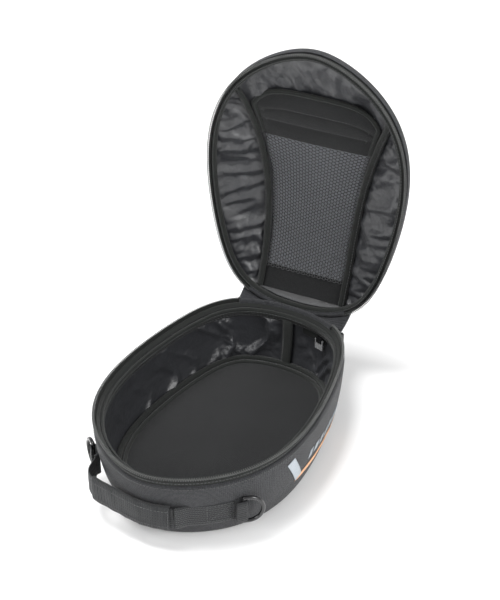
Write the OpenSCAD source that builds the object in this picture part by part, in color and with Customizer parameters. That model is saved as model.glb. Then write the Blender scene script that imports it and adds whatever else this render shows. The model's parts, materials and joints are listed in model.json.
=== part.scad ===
// Motorcycle tank bag: a low egg-shaped tub with a domed lid on a fabric hinge.
// Origin at the middle of the underside. +Y is the narrow hinge end, +X the printed side, +Z up.
// The lid stands open at rest. Its modules draw it closed, and on_lid() swings it open.

/* [Bag] */
// Length over the rim
bag_l = 320; // [280:5:360]
// Width over the rim
bag_w = 220; // [200:2:250]
// Height of the tub's rim above the ground
tub_h = 88; // [76:2:100]
// Thickness of the padded wall
wall_t = 5; // [4:0.5:7]
// How far the wall's foot stands inside the rim
foot_in = 13; // [4:1:14]
// How far the foot is set back towards the hinge
foot_back = 7; // [0:1:10]

/* [Outline] */
// Lean of the flanks towards the narrow end
flank_lean = -0.06; // [-0.08:0.01:0.04]
// Fullness of the shoulders
shoulder = -0.01; // [-0.06:0.005:0]
// Fullness of the heel beside the hinge
heel = -0.045; // [-0.08:0.005:0]
// Bluntness of both ends
blunt = -0.04; // [-0.08:0.005:0]
// How far forward the widest place lies
belly = 0.055; // [0:0.005:0.08]

/* [Lid] */
// Rise of the centre panel above its seam
lid_h = 38; // [28:1:50]
// Swing from closed to the open rest pose
open_angle = 87.5; // [80:0.5:100]
// Slope of the soft hinge's axis along Y
hinge_slope_y = 0.025; // [0:0.005:0.1]
// Slope of the soft hinge's axis along Z
hinge_slope_z = -0.08; // [-0.12:0.005:0]
// How far the side seams are drawn in at mid length
pinch = 0.2; // [0.1:0.01:0.3]
// How much lower the side seams lie than the middle of the panel
crown = 0.22; // [0.1:0.02:0.3]

/* [Zip] */
// Height of one half of the main zip's tape
tape_h = 9; // [8:0.5:12]
// Outline angle at which the zip ends beside the hinge
zip_end = 154; // [148:1:156]
// Length of a zip pull
pull_l = 15; // [13:1:24]

/* [Handle] */
// Width of the webbing
webbing = 25; // [20:1:30]
// Height of the handle's middle line above the ground
handle_z = 40; // [36:1:48]
// Outline angle of the handle's left sewn end
handle_from = -46; // [-47:1:-40]
// Outline angle of the handle's right sewn end
handle_to = 22; // [16:1:30]
// Bow of the handle's slack left end away from the wall
bow = 12; // [8:1:16]

/* [Rings] */
// Radius of a D-ring's bow
ring_r = 14.5; // [13.5:0.5:16]
// Thickness of a D-ring's wire
wire = 4; // [3.5:0.5:4.5]
// Outline angle of a D-ring's bar
ring_at = 53; // [50:1:58]
// Angle of a D-ring off the wall at rest
ring_lift = 14; // [10:1:20]

/* [Hidden] */

steps = 60;               // stations round the outline
gap = 0.3;                // room between neighbouring fabric solids
half_l = bag_l / 2;
half_w = bag_w / 2;
wall_top = tub_h - tape_h - gap;
lid_foot = tub_h + 0.6;                  // lower edge of the closed lid
band_z = lid_foot + tape_h + gap;        // where the lid's rim band starts
band_h = 7;
lid_seam = band_z + band_h;              // where the lid's panels start
seam_in = 2.6;                           // inset of the panels' lower edge
hinge_y = half_l - 4;
hinge_z = tub_h - 18;
hinge_axis = [1, hinge_slope_y, hinge_slope_z];
heel_angle = 157;                        // outline angle of the lid seams' rear ends
cheek_angle = 58;                        // outline angle of the lid seams' front ends
panel_t = 5;                             // padded centre panel of the lid
gusset_t = 2.5;                          // side gussets of the lid
skin_t = 0.8;                            // nylon linings
pad_t = 2;                               // non-slip pad under the board
board_t = 2.7;                           // stiff bottom board
mat_t = 3.6;                             // soft mat on the board
seam_half = 3.6;                         // half the width of a thick bound seam
tape_in = [1.6, 2.8];                    // inset of the zip tapes' outer and inner faces
ring_z = handle_z;
loop_out = 5.8;                          // a D-ring bar's distance from the wall

fabric = [0.13, 0.135, 0.14];
nylon = [0.22, 0.225, 0.235];
trim = [0.11, 0.12, 0.11];
gloss = [0.05, 0.05, 0.055];

// ---- Outline -------------------------------------------------------------------------------

function raw_x(t) = sin(t) + flank_lean * sin(2 * t) + shoulder * sin(3 * t) + heel * sin(4 * t);
widest = max([for (t = [60:2:120]) raw_x(t)]);

// A point of the rim outline: t = 0 is the middle of the front, 180 the middle of the hinge end.
function egg(t) = [
    half_w * raw_x(t) / widest,
    -half_l * (cos(t) + blunt * cos(3 * t) + belly * pow(sin(t), 2)) / (1 + blunt)];

function outward(t) = let (d = egg(t + 0.5) - egg(t - 0.5)) [d.y, -d.x] / norm(d);
function rim(t, inset = 0) = egg(t) - inset * outward(t);

// A point of the tub's wall at height z, inset from its outer face.
function wall(t, z, inset = 0) = let (
    down = 1 - z / tub_h,
    p = rim(t, inset + foot_in * down * down - 2 * sin(180 * down)))
    [p.x, p.y + foot_back * down, z];

function lift(p, z) = [p.x, p.y, z];
function mix(a, b, k) = a + (b - a) * k;

// ---- Solids from stations ------------------------------------------------------------------

// Joins rings of points, all of one length, into a solid.
module skin(rings, closed = false) {
    count = len(rings);
    m = len(rings[0]);
    last = closed ? count - 1 : count - 2;
    sides = [for (i = [0:last], j = [0:m - 1]) let (
        a = i * m + j,
        b = i * m + (j + 1) % m,
        c = ((i + 1) % count) * m + (j + 1) % m,
        d = ((i + 1) % count) * m + j)
        each [[a, b, c], [a, c, d]]];
    end = (count - 1) * m;
    caps = closed ? [] : [for (j = [0:m / 2 - 2]) let (k = m - 1 - j) each [
        [k - 1, j + 1, j], [k, k - 1, j],
        [end + j, end + j + 1, end + k - 1], [end + j, end + k - 1, end + k]]];
    polyhedron([for (r = rings) each r], concat(sides, caps));
}

// A profile of [inset, z] points carried round the tub's wall, or part of the way round.
module wall_band(profile, from = -180, to = 180) {
    closed = to - from == 360;
    n = ceil(steps * (to - from) / 360);
    skin([for (i = [0:closed ? n - 1 : n]) let (t = from + (to - from) * i / n)
        [for (p = profile) wall(t, p[1], p[0])]], closed);
}

// The same, square to the rim and with no taper.
module rim_band(profile, from = -180, to = 180) {
    closed = to - from == 360;
    n = ceil(steps * (to - from) / 360);
    skin([for (i = [0:closed ? n - 1 : n]) let (t = from + (to - from) * i / n)
        [for (p = profile) lift(rim(t, p[0]), p[1])]], closed);
}

// A flat plate with the outline that the wall has at height z.
module plate(z, thick, inset) {
    translate([0, 0, z])
        linear_extrude(thick)
            polygon([for (i = [0:steps - 1]) let (p = wall(360 * i / steps, z, inset)) [p.x, p.y]]);
}

function round_profile(inset, z, r, rz, sides = 6) =
    [for (i = [0:sides - 1]) [inset - r * cos(360 * i / sides), z - rz * sin(360 * i / sides)]];

// A sheet of even thickness hung below a surface: rows of points across, one row per station.
module hung_sheet(rows, below, thick) {
    skin([for (row = rows) concat(
        [for (p = row) p - [0, 0, below]],
        [for (j = [len(row) - 1:-1:0]) row[j] - [0, 0, below + thick]])]);
}

// ---- Tub -----------------------------------------------------------------------------------

shell_levels = [2.3, 16, 36, 58, wall_top];
lining_levels = [10, 30, 56, wall_top - 1];

module tub_shell() {
    color(fabric) wall_band(concat(
        [for (i = [len(shell_levels) - 1:-1:0]) [0, shell_levels[i]]],
        [for (z = shell_levels) [wall_t, z]]));
}

module tub_lining() {
    inner = wall_t + gap;
    color(nylon) wall_band(concat(
        [for (i = [len(lining_levels) - 1:-1:0]) [inner, lining_levels[i]]],
        [for (z = lining_levels) [inner + skin_t, z]]));
}

module base_board() {
    color(trim) plate(pad_t + gap, board_t, wall_t + 2 * gap);
}

module underside_pad() {
    color(trim) plate(0, pad_t, wall_t);
}

module floor_mat() {
    color(fabric) plate(pad_t + board_t + 2 * gap, mat_t, wall_t + 2);
}

module floor_piping() {
    color(trim) wall_band(round_profile(wall_t + 5.6, 13, seam_half, seam_half));
}

module tub_zip_tape() {
    color(trim) rim_band([[tape_in[0], tub_h], [tape_in[0], wall_top + gap],
        [tape_in[1], wall_top + gap], [tape_in[1], tub_h]], -zip_end, zip_end);
}

module tub_zip_coil() {
    color(gloss) rim_band(round_profile(0.3, tub_h - 1.4, 1.1, 1.2), -zip_end, zip_end);
}

module tub_rim_binding() {
    color(trim) wall_band(round_profile(wall_t + skin_t + 3.2, wall_top - 4, 2.3, 3.6));
}

module hinge_fabric() {
    from = zip_end + 1;
    color(fabric) rim_band([[0.8, tub_h - 1], [0.8, wall_top + gap], [3, wall_top + gap], [3, tub_h - 1]],
        from, 360 - from);
}

// A folded end of the zip tape, sewn to the wall beside the hinge.
module zip_end_tab(side) {
    t = side * (zip_end + 4);
    p = wall(t, wall_top - 8);
    n = outward(t);
    translate([p.x, p.y, p.z] + [n.x, n.y, 0] * 2.6)
        rotate([0, 0, atan2(n.y, n.x)])
            translate([-1, -4, -6])
                cube([2, 8, 12]);
}

module zip_end_left() {
    color(trim) zip_end_tab(-1);
}

module zip_end_right() {
    color(trim) zip_end_tab(1);
}

module rear_seam_tape() {
    inner = wall_t + 2.5 * gap + skin_t;
    half = 2.2;                          // half its width, as an outline angle
    color(trim) skin([for (z = [17.2, 30, 56, wall_top - 8]) [
        wall(180 - half, z, inner), wall(180 + half, z, inner),
        wall(180 + half, z, inner + 1), wall(180 - half, z, inner + 1)]]);
}

// ---- Small zip on the lining, by the hinge ----------------------------------------------------

pocket_z = wall_top - 14;
pocket_at = 164;
pocket_l = 34;
pocket_in = wall_t + skin_t + 3.9;
pocket_n = outward(pocket_at);
pocket_turn = atan2(-pocket_n.y, -pocket_n.x);
pocket_stop = 7;                         // the slider's distance from the zip's near end at rest

// Puts a shape on the small zip: X points into the tub, Y along the zip.
module on_pocket_zip() {
    translate(wall(pocket_at, pocket_z, pocket_in))
        rotate([0, 0, pocket_turn])
            children();
}

module pocket_zip_tape() {
    color(trim) on_pocket_zip() translate([-1.1, -pocket_l / 2, -5]) cube([1, pocket_l, 10]);
}

module pocket_slider() {
    color(gloss) on_pocket_zip()
        translate([0.2, pocket_l / 2 - pocket_stop, 0])
            difference() {
                translate([0, -4, -3]) cube([4, 8, 6]);
                translate([2.9, 5, 0]) rotate([90, 0, 0]) cylinder(r = 0.8, h = 10, $fn = 24);
            }
}

module pocket_pull() {
    color("silver") on_pocket_zip()
        translate([3.1, pocket_l / 2 - pocket_stop, 0])
            union() {
                translate([0, 3.9, 0]) rotate([90, 0, 0]) cylinder(r = 0.75, h = 7.8, $fn = 24);
                for (s = [-1, 1]) translate([-0.75, s * 4.8 - 0.5, -5]) cube([1.5, 1, 5.75]);
                for (s = [-1, 1]) translate([-0.75, s * 4.55 - 0.5, -0.75]) cube([1.5, 1, 1.5]);
                translate([-0.75, -5.3, -12]) cube([1.5, 10.6, 7]);
            }
}

// ---- Handle and D-rings -----------------------------------------------------------------------

// Places a shape at the wall: X points outwards, Y towards the hinge end on the right-hand side.
module on_wall(t, z, out) {
    n = outward(t);
    translate(wall(t, z, -out))
        rotate([0, 0, atan2(n.y, n.x)])
            children();
}

// A curved patch lying on the wall between two outline angles.
module wall_patch(from, to, z, height, thick, off) {
    n = max(2, ceil(abs(to - from) / 4));
    rows = 4;
    function column(t, out) = [for (j = [0:rows]) wall(t, z + height * (0.5 - j / rows), -out)];
    function turned(list) = [for (i = [len(list) - 1:-1:0]) list[i]];
    skin([for (i = [0:n]) let (t = from + (to - from) * i / n)
        concat(column(t, off + thick), turned(column(t, off)))]);
}

patch_to = ring_at - 4;

module handle_patch_left() {
    color(trim) wall_patch(-patch_to, handle_from - 1, handle_z, webbing, 2, gap);
}

module handle_patch_right() {
    color(trim) wall_patch(handle_to + 1, patch_to, handle_z, webbing, 2, gap);
}

// The webbing loop that holds a D-ring's bar.
module ring_loop(side) {
    color(trim) on_wall(side * ring_at, ring_z, loop_out)
        difference() {
            union() {
                cylinder(r = wire / 2 + 1.6, h = webbing, center = true, $fn = 40);
                translate([-wire / 2 - 1.6, side > 0 ? -6 : 0, -webbing / 2])
                    cube([2 * wire / 2 + 1.6, 6, webbing]);
            }
            cylinder(r = wire / 2 + 0.05, h = webbing + 1, center = true, $fn = 40);
        }
}

module ring_loop_left() {
    ring_loop(-1);
}

module ring_loop_right() {
    ring_loop(1);
}

// A D-ring: an upright bar with a half-round bow that points towards the hinge end.
module d_ring(side) {
    color(gloss) on_wall(side * ring_at, ring_z, loop_out)
        rotate([0, 0, side * -ring_lift])
            mirror([0, side > 0 ? 0 : 1, 0])
                union() {
                    cylinder(r = wire / 2, h = 2 * ring_r, center = true, $fn = 40);
                    for (s = [-1, 1]) translate([0, 0, s * ring_r]) {
                        sphere(r = wire / 2, $fn = 40);
                        rotate([-90, 0, 0]) cylinder(r = wire / 2, h = 4, $fn = 40);
                    }
                    translate([0, 4, 0])
                        rotate([0, 90, 0])
                            rotate_extrude(angle = 180, $fn = 60)
                                translate([ring_r, 0]) circle(r = wire / 2, $fn = 40);
                }
}

module d_ring_left() {
    d_ring(-1);
}

module d_ring_right() {
    d_ring(1);
}

// The handle's middle line: u runs from 0 at the left end to 1 at the right. The slack lies on the left.
function handle_t(u) = mix(handle_from, handle_to, u);
function handle_off(u) = 6.5 + bow * pow(sin(180 * pow(u, 0.35)), 6);

function strap_ring(u, height, thick) = let (
    t = handle_t(u),
    n = outward(t),
    p = wall(t, handle_z, -handle_off(u)),
    out = [n.x, n.y, 0] * thick / 2,
    up = [0, 0, height / 2],
    c = [p.x, p.y, handle_z])
    [c + out + up, c + out - up, c - out - up, c - out + up];

sleeve_from = 0.18;
sleeve_to = 0.97;

module handle_strap() {
    color(trim) skin([for (i = [0:24]) strap_ring(i / 24, webbing, 1.8)]);
}

// A sleeve sewn round the webbing: each of its four corners runs out along the outside and back inside.
module handle_sleeve() {
    n = 16;
    function at(i) = mix(sleeve_from, sleeve_to, i / n);
    color(fabric) skin([for (corner = [3:-1:0]) concat(
        [for (i = [0:n]) strap_ring(at(i), webbing + 5, 5)[corner]],
        [for (i = [n:-1:0]) strap_ring(at(i), webbing + gap, 2.2)[corner]])], closed = true);
}

// ---- Print on the right-hand wall -------------------------------------------------------------

module side_print() {
    color([0.85, 0.6, 0.42]) wall_patch(74, 128, 44, 44, 0.4, 0.2);
}

// ---- Lid, drawn closed --------------------------------------------------------------------------

module on_lid() {
    translate([0, hinge_y, hinge_z])
        rotate(a = -open_angle, v = hinge_axis)
            translate([0, -hinge_y, -hinge_z])
                children();
}

function rise(l) = pow(sin(180 * l), 0.6);
// The lid's centre panel: l runs from 0 at the hinge to 1 at the front, s across from -1 to 1.
function strip(l, s) = let (
    rear = rim(180 - s * (180 - heel_angle), seam_in),
    front = rim(s * cheek_angle, seam_in),
    p = mix(rear, front, l))
    [p.x * (1 - pinch * sin(180 * l)), p.y, lid_seam + lid_h * rise(l) * (1 - crown * s * s)];

// A side gusset: m runs from the hinge to the front, k from the rim up to the centre panel.
function gusset(side, m, k) = let (
    foot = lift(rim(side * mix(heel_angle, cheek_angle, m), seam_in), lid_seam),
    top = strip(m, side))
    mix(foot, top, k) + [0, 0, 4 * sin(180 * k) * sin(180 * m)];

panel_from = 0.005;                      // where the panel starts, short of its seams
panel_rows = 20;
panel_step = (1 - 2 * panel_from) / panel_rows;

module panel_sheet(below, thick, from, to, half, n, across = 6) {
    hung_sheet([for (i = [0:n]) [for (j = [0:across])
        strip(mix(from, to, i / n), half * (2 * j / across - 1))]], below, thick);
}

module gusset_sheet(side, below, thick, n = 16, up = 4) {
    rows = [for (i = [0:n]) [for (j = [0:up])
        gusset(side, mix(0.02, 0.98, i / n), mix(0.03, 0.95, (side > 0 ? up - j : j) / up))]];
    hung_sheet(rows, below, thick);
}

module lid_panel() {
    color(fabric) on_lid() panel_sheet(0, panel_t, panel_from, 1 - panel_from, 1, panel_rows);
}

// One row short of the panel at each end, on the panel's own rows.
module lid_lining_centre() {
    first = panel_from + panel_step;
    color(nylon) on_lid()
        panel_sheet(panel_t + 2.2 * gap, skin_t, first, 1 - first, 0.96, panel_rows - 2);
}

module lid_gusset_left() {
    color(fabric) on_lid() gusset_sheet(-1, 0, gusset_t);
}

module lid_gusset_right() {
    color(fabric) on_lid() gusset_sheet(1, 0, gusset_t);
}

module lid_lining_left() {
    color(nylon) on_lid() gusset_sheet(-1, gusset_t + 2 * gap, skin_t);
}

module lid_lining_right() {
    color(nylon) on_lid() gusset_sheet(1, gusset_t + 2 * gap, skin_t);
}

// The bound seam along one side of the centre panel, inside the lid.
module seam_binding(side) {
    n = 20;
    skin([for (i = [0:n]) let (c = strip(mix(0.03, 0.96, i / n), side * 0.97) - [0, 0, panel_t + 5.5])
        [for (a = [0:60:300]) c + seam_half * [cos(a), 0, sin(a)]]]);
}

module lid_binding_left() {
    color(trim) on_lid() seam_binding(-1);
}

module lid_binding_right() {
    color(trim) on_lid() seam_binding(1);
}

module lid_rim_band() {
    color(fabric) on_lid() rim_band(
        [[0, lid_seam - gap], [0, band_z], [2.2, band_z], [2.2, lid_seam - gap]]);
}

module lid_zip_tape() {
    color(trim) on_lid() rim_band(
        [[tape_in[0], band_z - gap], [tape_in[0], lid_foot], [tape_in[1], lid_foot],
        [tape_in[1], band_z - gap]], -zip_end, zip_end);
}

module lid_zip_coil() {
    color(gloss) on_lid() rim_band(round_profile(0.3, lid_foot + 1.4, 1.1, 1.2), -zip_end, zip_end);
}

module lid_rim_binding() {
    color(trim) on_lid() rim_band(round_profile(6, band_z - 3, 2.3, 3.2));
}

// ---- Mesh pocket in the lid -------------------------------------------------------------------

pocket_below = panel_t + skin_t + 1.6;
pocket_half = 0.9;                       // where its side seams lie across the panel
mesh_from = 0.1;
mesh_to = 0.73;
flat_from = 0.87;                        // past here the pocket stays level instead of following its seams

// The pocket is taut from seam to seam: l runs along the side seams, s across from -1 to 1.
function taut(l, s) = let (seam = strip(l, pocket_half))
    [seam.x * s, seam.y, strip(min(l, flat_from), pocket_half).z];
// The pocket's mouth drops at its rounded corners.
function mouth(s) = 0.955 - 0.085 * pow(s, 4);

module pocket_sheet(thick, below, n, from, to) {
    across = 8;
    hung_sheet([for (i = [0:n]) [for (j = [0:across]) let (s = 2 * j / across - 1)
        taut(mix(from(s), to(s), i / n), s)]], below, thick);
}

module mesh_pocket() {
    color(nylon) on_lid()
        pocket_sheet(1, pocket_below, 12, function(s) mesh_from, function(s) mesh_to);
}

module pocket_hem() {
    color(fabric) on_lid()
        pocket_sheet(2.4, pocket_below, 6, function(s) mesh_to + 0.005, function(s) mouth(s) - 0.025);
}

module pocket_edging() {
    color(trim) on_lid()
        pocket_sheet(4, pocket_below - 0.4, 2, function(s) mouth(s) - 0.022, function(s) mouth(s));
}

// ---- Main zip's sliders and pulls ----------------------------------------------------------------

slider_at = zip_end - 4;
slider_size = [5, 11, 8];                // out from the zip, along it, and up
slider_out = 3.2;

module on_slider(side) {
    on_wall(side * slider_at, wall_top - 2, slider_out)
        mirror([0, side > 0 ? 0 : 1, 0])
            children();
}

module zip_slider(side) {
    color(gloss) on_slider(side) difference() {
        translate([-slider_size.x / 2, -slider_size.y / 2, -slider_size.z / 2]) cube(slider_size);
        translate([1, 0, 0]) rotate([90, 0, 0]) cylinder(r = 0.85, h = 20, center = true, $fn = 24);
        translate([1.5, 0, 0]) cube([2.1, 3, 20], center = true);
    }
}

module zip_slider_left() {
    zip_slider(-1);
}

module zip_slider_right() {
    zip_slider(1);
}

// A pull with a pin through the slider; it hangs from the pin.
module zip_pull(side) {
    half = slider_size.y / 2 + gap;
    color(gloss) on_slider(side) translate([1, 0, 0]) union() {
        rotate([90, 0, 0]) cylinder(r = 0.8, h = 2 * half, center = true, $fn = 24);
        for (s = [-1, 1]) translate([-0.8, s * (half + 0.5) - 0.5, -6]) cube([1.6, 1, 6.8]);
        translate([-0.8, -half - 1, -pull_l]) cube([1.6, 2 * half + 2, pull_l - 5.9]);
    }
}

module zip_pull_left() {
    zip_pull(-1);
}

module zip_pull_right() {
    zip_pull(1);
}

tub_shell();
tub_lining();
base_board();
floor_mat();
floor_piping();
underside_pad();
tub_zip_tape();
tub_zip_coil();
tub_rim_binding();
hinge_fabric();
zip_end_left();
zip_end_right();
rear_seam_tape();
pocket_zip_tape();
pocket_slider();
pocket_pull();
handle_patch_left();
handle_patch_right();
ring_loop_left();
ring_loop_right();
d_ring_left();
d_ring_right();
handle_strap();
handle_sleeve();
side_print();
lid_panel();
lid_gusset_left();
lid_gusset_right();
lid_lining_centre();
lid_lining_left();
lid_lining_right();
lid_binding_left();
lid_binding_right();
lid_rim_band();
lid_zip_tape();
lid_zip_coil();
lid_rim_binding();
mesh_pocket();
pocket_hem();
pocket_edging();
zip_slider_left();
zip_slider_right();
zip_pull_left();
zip_pull_right();
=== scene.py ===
import json
import math

import bmesh
import bpy
from bpy.props import FloatProperty, FloatVectorProperty, PointerProperty
from mathutils import Matrix, Vector, noise


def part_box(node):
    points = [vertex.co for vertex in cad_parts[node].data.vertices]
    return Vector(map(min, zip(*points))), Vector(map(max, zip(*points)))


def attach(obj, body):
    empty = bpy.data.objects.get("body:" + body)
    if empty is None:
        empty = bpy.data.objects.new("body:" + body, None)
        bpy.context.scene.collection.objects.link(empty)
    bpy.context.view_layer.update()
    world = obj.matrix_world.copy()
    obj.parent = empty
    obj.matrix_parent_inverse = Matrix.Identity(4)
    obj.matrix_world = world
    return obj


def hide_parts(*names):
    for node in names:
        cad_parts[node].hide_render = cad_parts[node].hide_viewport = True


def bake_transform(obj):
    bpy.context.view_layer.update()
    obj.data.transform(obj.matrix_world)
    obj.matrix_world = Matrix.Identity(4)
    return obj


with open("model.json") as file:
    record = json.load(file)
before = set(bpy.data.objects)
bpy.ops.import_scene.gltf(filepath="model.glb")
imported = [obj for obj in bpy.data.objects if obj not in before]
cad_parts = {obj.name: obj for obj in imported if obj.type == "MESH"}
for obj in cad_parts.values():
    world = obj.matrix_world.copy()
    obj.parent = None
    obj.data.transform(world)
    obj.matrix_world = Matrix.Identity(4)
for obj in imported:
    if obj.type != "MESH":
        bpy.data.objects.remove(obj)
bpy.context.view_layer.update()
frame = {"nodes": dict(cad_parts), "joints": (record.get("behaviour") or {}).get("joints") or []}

JOINTS = {joint["name"]: joint for joint in frame["joints"]}

bl_info = {
    "name": "Soft Motorcycle Bag",
    "version": (1, 0, 0),
    "blender": (4, 5, 0),
    "location": "View3D > Sidebar > Bag",
    "description": "Sews an egg-shaped zipped bag round its packed CAD frame",
    "category": "Object",
}

MM = 0.001


# ---- Sizes and colours ---------------------------------------------------------------------


class BagSizes(bpy.types.PropertyGroup):
    length: FloatProperty(
        name="Length", description="Length over the rim", default=0.320, unit="LENGTH")
    width: FloatProperty(
        name="Width", description="Width over the rim", default=0.220, unit="LENGTH")
    height: FloatProperty(
        name="Rim height", description="Height of the tub's rim",
        default=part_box("tub_zip_tape")[1].z, unit="LENGTH")
    foot_in: FloatProperty(
        name="Foot inset", description="How far the wall's foot stands inside the rim",
        default=0.013, unit="LENGTH")
    foot_back: FloatProperty(
        name="Foot set-back", description="How far the foot is set back towards the hinge",
        default=0.007, unit="LENGTH")
    wall: FloatProperty(
        name="Wall", description="Thickness of the padded wall", default=0.005, unit="LENGTH")
    tape: FloatProperty(
        name="Tape", description="Height of one half of the main zip's tape",
        default=0.009, unit="LENGTH")
    lid_rise: FloatProperty(
        name="Lid rise", description="Rise of the lid's middle above its seam",
        default=0.038, unit="LENGTH")
    webbing: FloatProperty(
        name="Webbing", description="Width of the handle's webbing", default=0.025, unit="LENGTH")
    mesh_pitch: FloatProperty(
        name="Mesh pitch", description="Distance between the holes of the mesh",
        default=0.0036, unit="LENGTH")
    stitch: FloatProperty(
        name="Stitch", description="Length of one stitch", default=0.0026, unit="LENGTH")


class BagColours(bpy.types.PropertyGroup):
    fabric: FloatVectorProperty(
        name="Fabric", description="Outer woven polyester", subtype="COLOR", size=3,
        default=(0.0135, 0.0140, 0.0155), min=0, max=1)
    nylon: FloatVectorProperty(
        name="Nylon", description="Shiny lining", subtype="COLOR", size=3,
        default=(0.022, 0.023, 0.026), min=0, max=1)
    binding: FloatVectorProperty(
        name="Binding", description="Bound seams and piping", subtype="COLOR", size=3,
        default=(0.0085, 0.0096, 0.0088), min=0, max=1)
    webbing: FloatVectorProperty(
        name="Webbing", description="Handle and ring loops", subtype="COLOR", size=3,
        default=(0.0125, 0.0132, 0.0140), min=0, max=1)
    mat: FloatVectorProperty(
        name="Mat", description="Floor mat and pocket hem", subtype="COLOR", size=3,
        default=(0.0085, 0.0088, 0.0092), min=0, max=1)
    mesh: FloatVectorProperty(
        name="Mesh", description="Mesh of the lid's pocket", subtype="COLOR", size=3,
        default=(0.024, 0.025, 0.027), min=0, max=1)
    ink: FloatVectorProperty(
        name="Ink", description="Warm stripe printed on the side", subtype="COLOR", size=3,
        default=(0.80, 0.44, 0.24), min=0, max=1)
    ink_grey: FloatVectorProperty(
        name="Grey ink", description="Cool bars printed on the side", subtype="COLOR", size=3,
        default=(0.42, 0.46, 0.50), min=0, max=1)


# ---- The bag's form ------------------------------------------------------------------------


def mix(a, b, k):
    return a + (b - a) * k


def wave(degrees):
    return math.sin(math.radians(degrees))


def ripple(x, y, z):
    """Smooth noise from about -1 to 1, the same at the same place every time."""
    return noise.noise(Vector((x, y, z)))


def hand(side):
    """Names a side: -1 is the left and 1 is the right."""
    return "left" if side < 0 else "right"


def smooth(low, high, x):
    k = min(max((x - low) / (high - low), 0.0), 1.0)
    return k * k * (3 - 2 * k)


class Form:
    """The outline, walls and lid surfaces of the bag, in metres, with the lid drawn closed."""

    FLANK, SHOULDER, HEEL, BLUNT, BELLY = -0.06, -0.01, -0.045, -0.04, 0.055
    BULGE = 2 * MM
    GAP = 0.3 * MM
    HEEL_ANGLE, CHEEK_ANGLE = 157, 58
    ZIP_END = 154
    PINCH, CROWN = 0.2, 0.22
    SEAM_IN = 2.6 * MM
    PANEL = 5 * MM
    GUSSET = 2.5 * MM

    def __init__(self, sizes):
        self.half_l = sizes.length / 2
        self.half_w = sizes.width / 2
        self.height = sizes.height
        self.wall_t = sizes.wall
        self.foot_in = sizes.foot_in
        self.foot_back = sizes.foot_back
        self.rise_h = sizes.lid_rise
        self.wall_top = self.height - sizes.tape - self.GAP
        self.lid_foot = self.height + 0.6 * MM
        self.band_z = self.lid_foot + sizes.tape + self.GAP
        self.seam_z = self.band_z + 7 * MM
        self.widest = max(self.raw_x(t) for t in range(60, 121, 2))
        hinge = JOINTS["lid_hinge"]
        pivot = Matrix.Translation(Vector(hinge["pos_m"]))
        swing = math.radians(hinge["range_deg"][1])
        turn = Matrix.Rotation(-swing, 4, Vector(hinge["axis"]))
        self.open_lid = pivot @ turn @ pivot.inverted()

    def raw_x(self, t):
        return (wave(t) + self.FLANK * wave(2 * t) + self.SHOULDER * wave(3 * t)
                + self.HEEL * wave(4 * t))

    def egg(self, t):
        """A point of the rim's outline: t is 0 at the middle of the front and 180 at the hinge."""
        y = wave(90 - t) + self.BLUNT * wave(90 - 3 * t) + self.BELLY * wave(t) ** 2
        return Vector((self.half_w * self.raw_x(t) / self.widest, -self.half_l * y / (1 + self.BLUNT), 0))

    def outward(self, t):
        d = self.egg(t + 0.5) - self.egg(t - 0.5)
        return Vector((d.y, -d.x, 0)).normalized()

    def rim(self, t, inset=0.0, z=0.0):
        p = self.egg(t) - inset * self.outward(t)
        p.z = z
        return p

    def wall(self, t, z, inset=0.0):
        """A point of the tub's wall at height z, inset from its outer face."""
        down = 1 - z / self.height
        p = self.rim(t, inset + self.foot_in * down * down - self.BULGE * wave(180 * down), z)
        p.y += self.foot_back * down
        return p

    def girth(self):
        """Distance round the rim."""
        steps = 180
        return run_of([self.egg(360 * i / steps) for i in range(steps + 1)])

    def strip(self, l, s, below=0.0):
        """The lid's centre panel: l is 0 at the hinge and 1 at the front, s across it is -1 to 1."""
        rear = self.rim(180 - s * (180 - self.HEEL_ANGLE), self.SEAM_IN)
        front = self.rim(s * self.CHEEK_ANGLE, self.SEAM_IN)
        p = rear.lerp(front, l)
        p.x *= 1 - self.PINCH * wave(180 * l)
        rise = max(wave(180 * l), 0.0) ** 0.6
        p.z = self.seam_z + self.rise_h * rise * (1 - self.CROWN * s * s) - below
        return p

    def gusset(self, side, m, k, below=0.0):
        """A side gusset: m is 0 at the hinge and 1 at the front, k is 0 at the rim and 1 at the panel."""
        foot = self.rim(side * mix(self.HEEL_ANGLE, self.CHEEK_ANGLE, m), self.SEAM_IN, self.seam_z)
        p = foot.lerp(self.strip(m, side), k)
        p.z += 4 * MM * wave(180 * k) * wave(180 * m) - below
        return p


def current_form():
    return Form(bpy.context.scene.bag_sizes)


# ---- Meshes --------------------------------------------------------------------------------


def new_object(name, verts, faces):
    mesh = bpy.data.meshes.new(name)
    mesh.from_pydata([tuple(v) for v in verts], [], faces)
    mesh.validate()
    mesh.update()
    ob = bpy.data.objects.new(name, mesh)
    bpy.context.scene.collection.objects.link(ob)
    return ob


def cloth_grid(name, point, across, along, closed=False, size=(1.0, 1.0)):
    """Quads through point(u, v), u and v from 0 to 1; closed joins u = 1 to u = 0. UVs are in metres."""
    columns = across if closed else across + 1
    verts = [point(i / across, j / along) for i in range(columns) for j in range(along + 1)]
    row = along + 1
    faces = []
    for i in range(across):
        nxt = (i + 1) % columns
        for j in range(along):
            faces.append((i * row + j, nxt * row + j, nxt * row + j + 1, i * row + j + 1))
    ob = new_object(name, verts, faces)
    layer = ob.data.uv_layers.new(name="Cloth")
    for face in ob.data.polygons:
        i, j = divmod(face.index, along)
        corners = ((i, j), (i + 1, j), (i + 1, j + 1), (i, j + 1))
        for loop, (a, b) in zip(face.loop_indices, corners):
            layer.data[loop].uv = (a / across * size[0], b / along * size[1])
    return ob


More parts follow.
